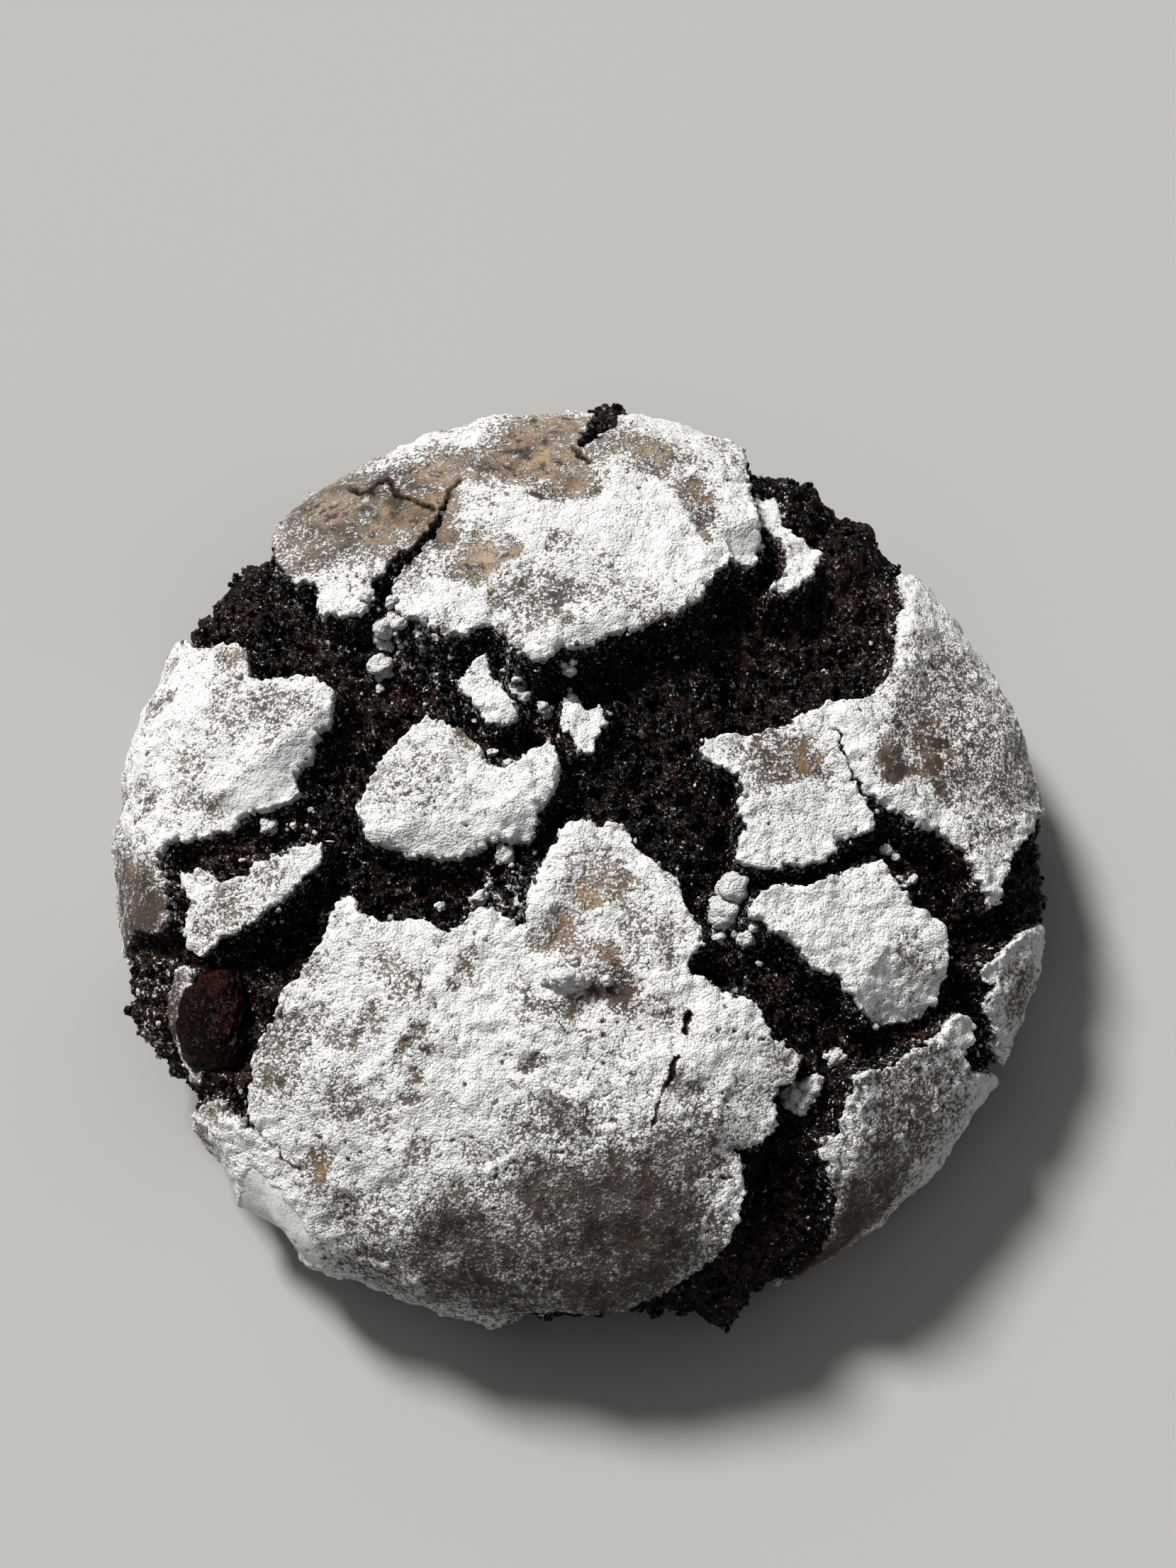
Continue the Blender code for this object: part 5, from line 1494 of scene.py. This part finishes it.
def chip_finish(colours):
    """Melted chocolate: nearly black and smooth inside, red-brown and rough on its rim, with a
    few shiny pinpoints. The red-brown on the side towards the key light is painted light."""
    made, wiring, shader = new_finish("chocolate")
    place = wiring.place()
    soft = wiring.noise(place, 420.0, 4.0, 0.6)
    fine = wiring.noise(place, 2600.0, 3.0, 0.6)
    # The rim mark also carries painted light on the chip's side towards the key light.
    rim = wiring.math("MULTIPLY_ADD", wiring.math("SUBTRACT", soft, 0.5), 3.6, wiring.mark("rim"))
    rim = wiring.ramp(rim, 0.3, 1.6)
    grit = use_group(wiring, "grit", Place=place, Scale=0.8)
    share = wiring.ramp(rim, 0.0, 1.0, 0.8, 1.1)
    height = wiring.math("MULTIPLY_ADD", fine, 0.5, soft)
    height = wiring.math("MULTIPLY_ADD", grit["Height"], share, height)
    wiring.feed(shader.inputs, {
        "Base Color": wiring.mix(rim, rgba(colours.chocolate), rgba(colours.chocolate_rim_and_lit_side)),
        "Roughness": wiring.ramp(rim, 0.0, 1.0, 0.28, 0.42),
        "Specular IOR Level": 0.22,
        "Normal": wiring.bump(height, 1.0, FINE_RELIEF["chip"]),
    })
    return made


def base_finish(colours):
    """The baked dough inside and under the cookie: dark brown, matt, with baked-in blotches."""
    made, wiring, shader = new_finish("baked_dough")
    place = wiring.place()
    grit = use_group(wiring, "grit", Place=place, Scale=0.7)
    wiring.feed(shader.inputs, {
        "Base Color": wiring.mix(grit["Light"], rgba(colours.base_dark),
                                 rgba(colours.base_light)),
        "Roughness": wiring.ramp(grit["Light"], 0.0, 1.0, 0.6, 0.8),
        "Normal": wiring.bump(grit["Height"], 0.6, FINE_RELIEF["base"]),
    })
    return made


def floor_finish(colours):
    """A plain pale matt floor."""
    made, wiring, shader = new_finish("pale_floor")
    wiring.feed(shader.inputs, {"Base Color": rgba(colours.floor), "Roughness": 0.9,
                                "Specular IOR Level": 0.2})
    return made


# ---------------------------------------------------------------- settings, operators, panel


def colour_property(name, description, default):
    """A colour with its swatch, its parts from 0 to 1."""
    return FloatVectorProperty(name=name, description=description, default=default, size=3,
                               subtype="COLOR", min=0.0, max=1.0)


class CookieColours(bpy.types.PropertyGroup):
    """Colours of the cookie and the floor."""

    sugar: colour_property("Sugar", "Icing sugar", (0.73, 0.73, 0.732))
    damp_sugar: colour_property("Damp sugar", "Small specks of sugar", (0.16, 0.15, 0.145))
    crust_tan: colour_property("Tan crust", "Lightly baked crust", (0.35, 0.270, 0.195))
    crust_dark: colour_property("Toasted crust", "Darker baked crust", (0.080, 0.062, 0.050))
    crust_speck: colour_property("Crust specks", "Dark specks of the crust", (0.050, 0.038, 0.032))
    rust_tan: colour_property("Brown crust", "Browner lightly baked crust", (0.33, 0.205, 0.105))
    rust_dark: colour_property("Brown toast", "Browner dark crust", (0.075, 0.042, 0.028))
    sugar_film: colour_property("Sugar film", "Sugar soaked into the crust", (0.33, 0.318, 0.302))
    crack: colour_property("Crack", "Inside the crust's cracks", (0.02, 0.012, 0.009))
    crumb_dark: colour_property("Dark crumb", "Most of the crumb", (0.0022, 0.0014, 0.0013))
    crumb_light: colour_property("Pale crumb", "Paler crumb", (0.024, 0.0135, 0.0105))
    crumb_red: colour_property("Red crumb", "Redder spots of the crumb", (0.030, 0.012, 0.0085))
    crumb_brown_and_lit: colour_property("Brown crumb", "Browner crumb", (0.060, 0.040, 0.031))
    chocolate: colour_property("Chocolate", "The chip", (0.0095, 0.0029, 0.0025))
    # Also painted light, on the chip's side towards the key light.
    chocolate_rim_and_lit_side: colour_property("Chocolate rim", "The chip's rim", (0.036, 0.0100, 0.0076))
    base_dark: colour_property("Base", "Baked base", (0.028, 0.015, 0.010))
    base_light: colour_property("Base, paler", "Paler blotches of the base", (0.065, 0.036, 0.022))
    floor: colour_property("Floor", "The floor", (0.42, 0.418, 0.410))


class CookieSizes(bpy.types.PropertyGroup):
    """Counts and strengths of what the cookie is dressed with."""

    specks: IntProperty(name="Sugar specks", description="Small crumbs of sugar", default=SPECKS,
                        min=1)
    grains: IntProperty(name="Crumb grains", description="Loose dark crumbs", default=GRAINS, min=1)
    sun: FloatProperty(name="Key light", description="Strength of the key light", default=3.2,
                       min=0.0)
    sun_height: FloatProperty(name="Key height", default=math.radians(48), subtype="ANGLE",
                              description="Height of the key light above the horizon",
                              unit="ROTATION")
    lens: FloatProperty(name="Lens", description="Focal length of the camera", default=66.3,
                        unit="CAMERA")


def colours_of(context):
    """The colours as they're set in this scene."""
    return context.scene.cookie_colours


def prepared(context):
    """Builds the shared node groups if they aren't there yet, and gives the colours."""
    if "powder" not in bpy.data.node_groups:
        powder_group()
    if "grit" not in bpy.data.node_groups:
        grit_group()
    return colours_of(context)


class COOKIE_OT_base(bpy.types.Operator):
    """Adds the baked dough inside and under the cookie"""

    bl_idname = "cookie.base"
    bl_label = "Baked base"

    def execute(self, context):
        finish = base_finish(prepared(context))
        add_piece("baked_base", core_mesh(), finish, "cookie")
        return {"FINISHED"}


class COOKIE_OT_crumb(bpy.types.Operator):
    """Adds the dark crumb between the plates, and the loose grains in it"""

    bl_idname = "cookie.crumb"
    bl_label = "Crumb"

    def execute(self, context):
        finish = crumb_finish(prepared(context))
        grains = grains_mesh(context.scene.cookie_sizes.grains)
        add_piece("crumb", crumb_mesh(), finish, "cookie")
        add_piece("crumb_grains", grains, finish, "cookie")
        return {"FINISHED"}


class COOKIE_OT_crust(bpy.types.Operator):
    """Adds the plates of sugared crust"""

    bl_idname = "cookie.crust"
    bl_label = "Crust plates"

    def execute(self, context):
        finish = crust_finish(prepared(context))
        for plate in PLATES:
            add_piece("crust_" + plate, plate_mesh(plate), finish, "cookie")
        return {"FINISHED"}


class COOKIE_OT_sugar(bpy.types.Operator):
    """Adds the sugar lumps and specks"""

    bl_idname = "cookie.sugar"
    bl_label = "Sugar lumps and specks"

    def execute(self, context):
        finish = sugar_finish(prepared(context))
        specks = specks_mesh(context.scene.cookie_sizes.specks)
        add_piece("sugar_lumps", lumps_mesh(), finish, "cookie")
        add_piece("sugar_specks", specks, finish, "cookie")
        return {"FINISHED"}


class COOKIE_OT_chip(bpy.types.Operator):
    """Adds the chocolate chip"""

    bl_idname = "cookie.chip"
    bl_label = "Chocolate chip"

    def execute(self, context):
        finish = chip_finish(prepared(context))
        add_piece("chip", chip_mesh(), finish, "chocolate_chip")
        return {"FINISHED"}


class COOKIE_OT_stage(bpy.types.Operator):
    """Adds the floor, the lights and the camera"""

    bl_idname = "cookie.stage"
    bl_label = "Floor, light and camera"

    def execute(self, context):
        scene, sizes, half = context.scene, context.scene.cookie_sizes, FLOOR_HALF
        corners = [(-half, -half, 0), (half, -half, 0), (half, half, 0), (-half, half, 0)]
        mesh = bpy.data.meshes.new("floor")
        mesh.from_pydata(corners, [], [(0, 1, 2, 3)])
        mesh.materials.append(floor_finish(colours_of(context)))
        floor = bpy.data.objects.new("floor", mesh)
        scene.collection.objects.link(floor)

        sun = bpy.data.lights.new("key_light", "SUN")
        sun.energy = sizes.sun
        sun.angle = KEY_WIDTH
        sun.color = KEY_COLOUR
        key = bpy.data.objects.new("key_light", sun)
        scene.collection.objects.link(key)
        flat, drop = math.cos(sizes.sun_height), math.sin(sizes.sun_height)
        ray = Vector((KEY_HEADING[0] * flat, KEY_HEADING[1] * flat, -drop))
        key.rotation_euler = ray.to_track_quat("-Z", "Y").to_euler()

        world = bpy.data.worlds.new("soft_room")
        scene.world = world
        world.use_nodes = True
        world.node_tree.nodes["Background"].inputs["Color"].default_value = rgba(ROOM_COLOUR)

        level, rise = math.cos(CAMERA_TILT), math.sin(CAMERA_TILT)
        right, above = CAMERA_SHIFT
        focus = Vector(CAMERA_FOCUS)
        place = focus + Vector((0.0, -level, rise)) * CAMERA_AWAY
        aim = focus + Vector((0.0, rise, level)) * above + Vector((right, 0.0, 0.0))
        lens = bpy.data.cameras.new("camera")
        lens.lens = sizes.lens
        lens.sensor_width = SENSOR_WIDTH
        lens.sensor_fit = "AUTO"
        lens.clip_start = NEAR_CLIP
        camera = bpy.data.objects.new("camera", lens)
        scene.collection.objects.link(camera)
        camera.location = place
        camera.rotation_euler = (aim - place).to_track_quat("-Z", "Y").to_euler()
        scene.camera = camera
        scene.view_settings.view_transform = "Standard"
        scene.view_settings.look = "High Contrast"
        return {"FINISHED"}


class COOKIE_PT_pieces(bpy.types.Panel):
    """Lists the cookie's pieces in the sidebar"""

    bl_idname = "COOKIE_PT_pieces"
    bl_label = "Chocolate crinkle cookie"
    bl_space_type = "VIEW_3D"
    bl_region_type = "UI"
    bl_category = "Cookie"

    def draw(self, context):
        for operator in OPERATORS:
            self.layout.operator(operator.bl_idname)
        for group in (context.scene.cookie_sizes, context.scene.cookie_colours):
            for name in group.bl_rna.properties.keys():
                if name not in ("rna_type", "name"):
                    self.layout.prop(group, name)


OPERATORS = (COOKIE_OT_base, COOKIE_OT_crumb, COOKIE_OT_crust, COOKIE_OT_sugar, COOKIE_OT_chip,
             COOKIE_OT_stage)
CLASSES = (CookieColours, CookieSizes, *OPERATORS, COOKIE_PT_pieces)


def register():
    """Adds the classes and the scene's settings."""
    for made in CLASSES:
        bpy.utils.register_class(made)
    bpy.types.Scene.cookie_colours = PointerProperty(type=CookieColours)
    bpy.types.Scene.cookie_sizes = PointerProperty(type=CookieSizes)


def unregister():
    """Removes them again, last first."""
    del bpy.types.Scene.cookie_sizes
    del bpy.types.Scene.cookie_colours
    for made in reversed(CLASSES):
        bpy.utils.unregister_class(made)


def main():
    """Registers the add-on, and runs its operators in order."""
    register()
    for operator in OPERATORS:
        prefix, name = operator.bl_idname.split(".")
        getattr(getattr(bpy.ops, prefix), name)()


if __name__ == "__main__":
    main()
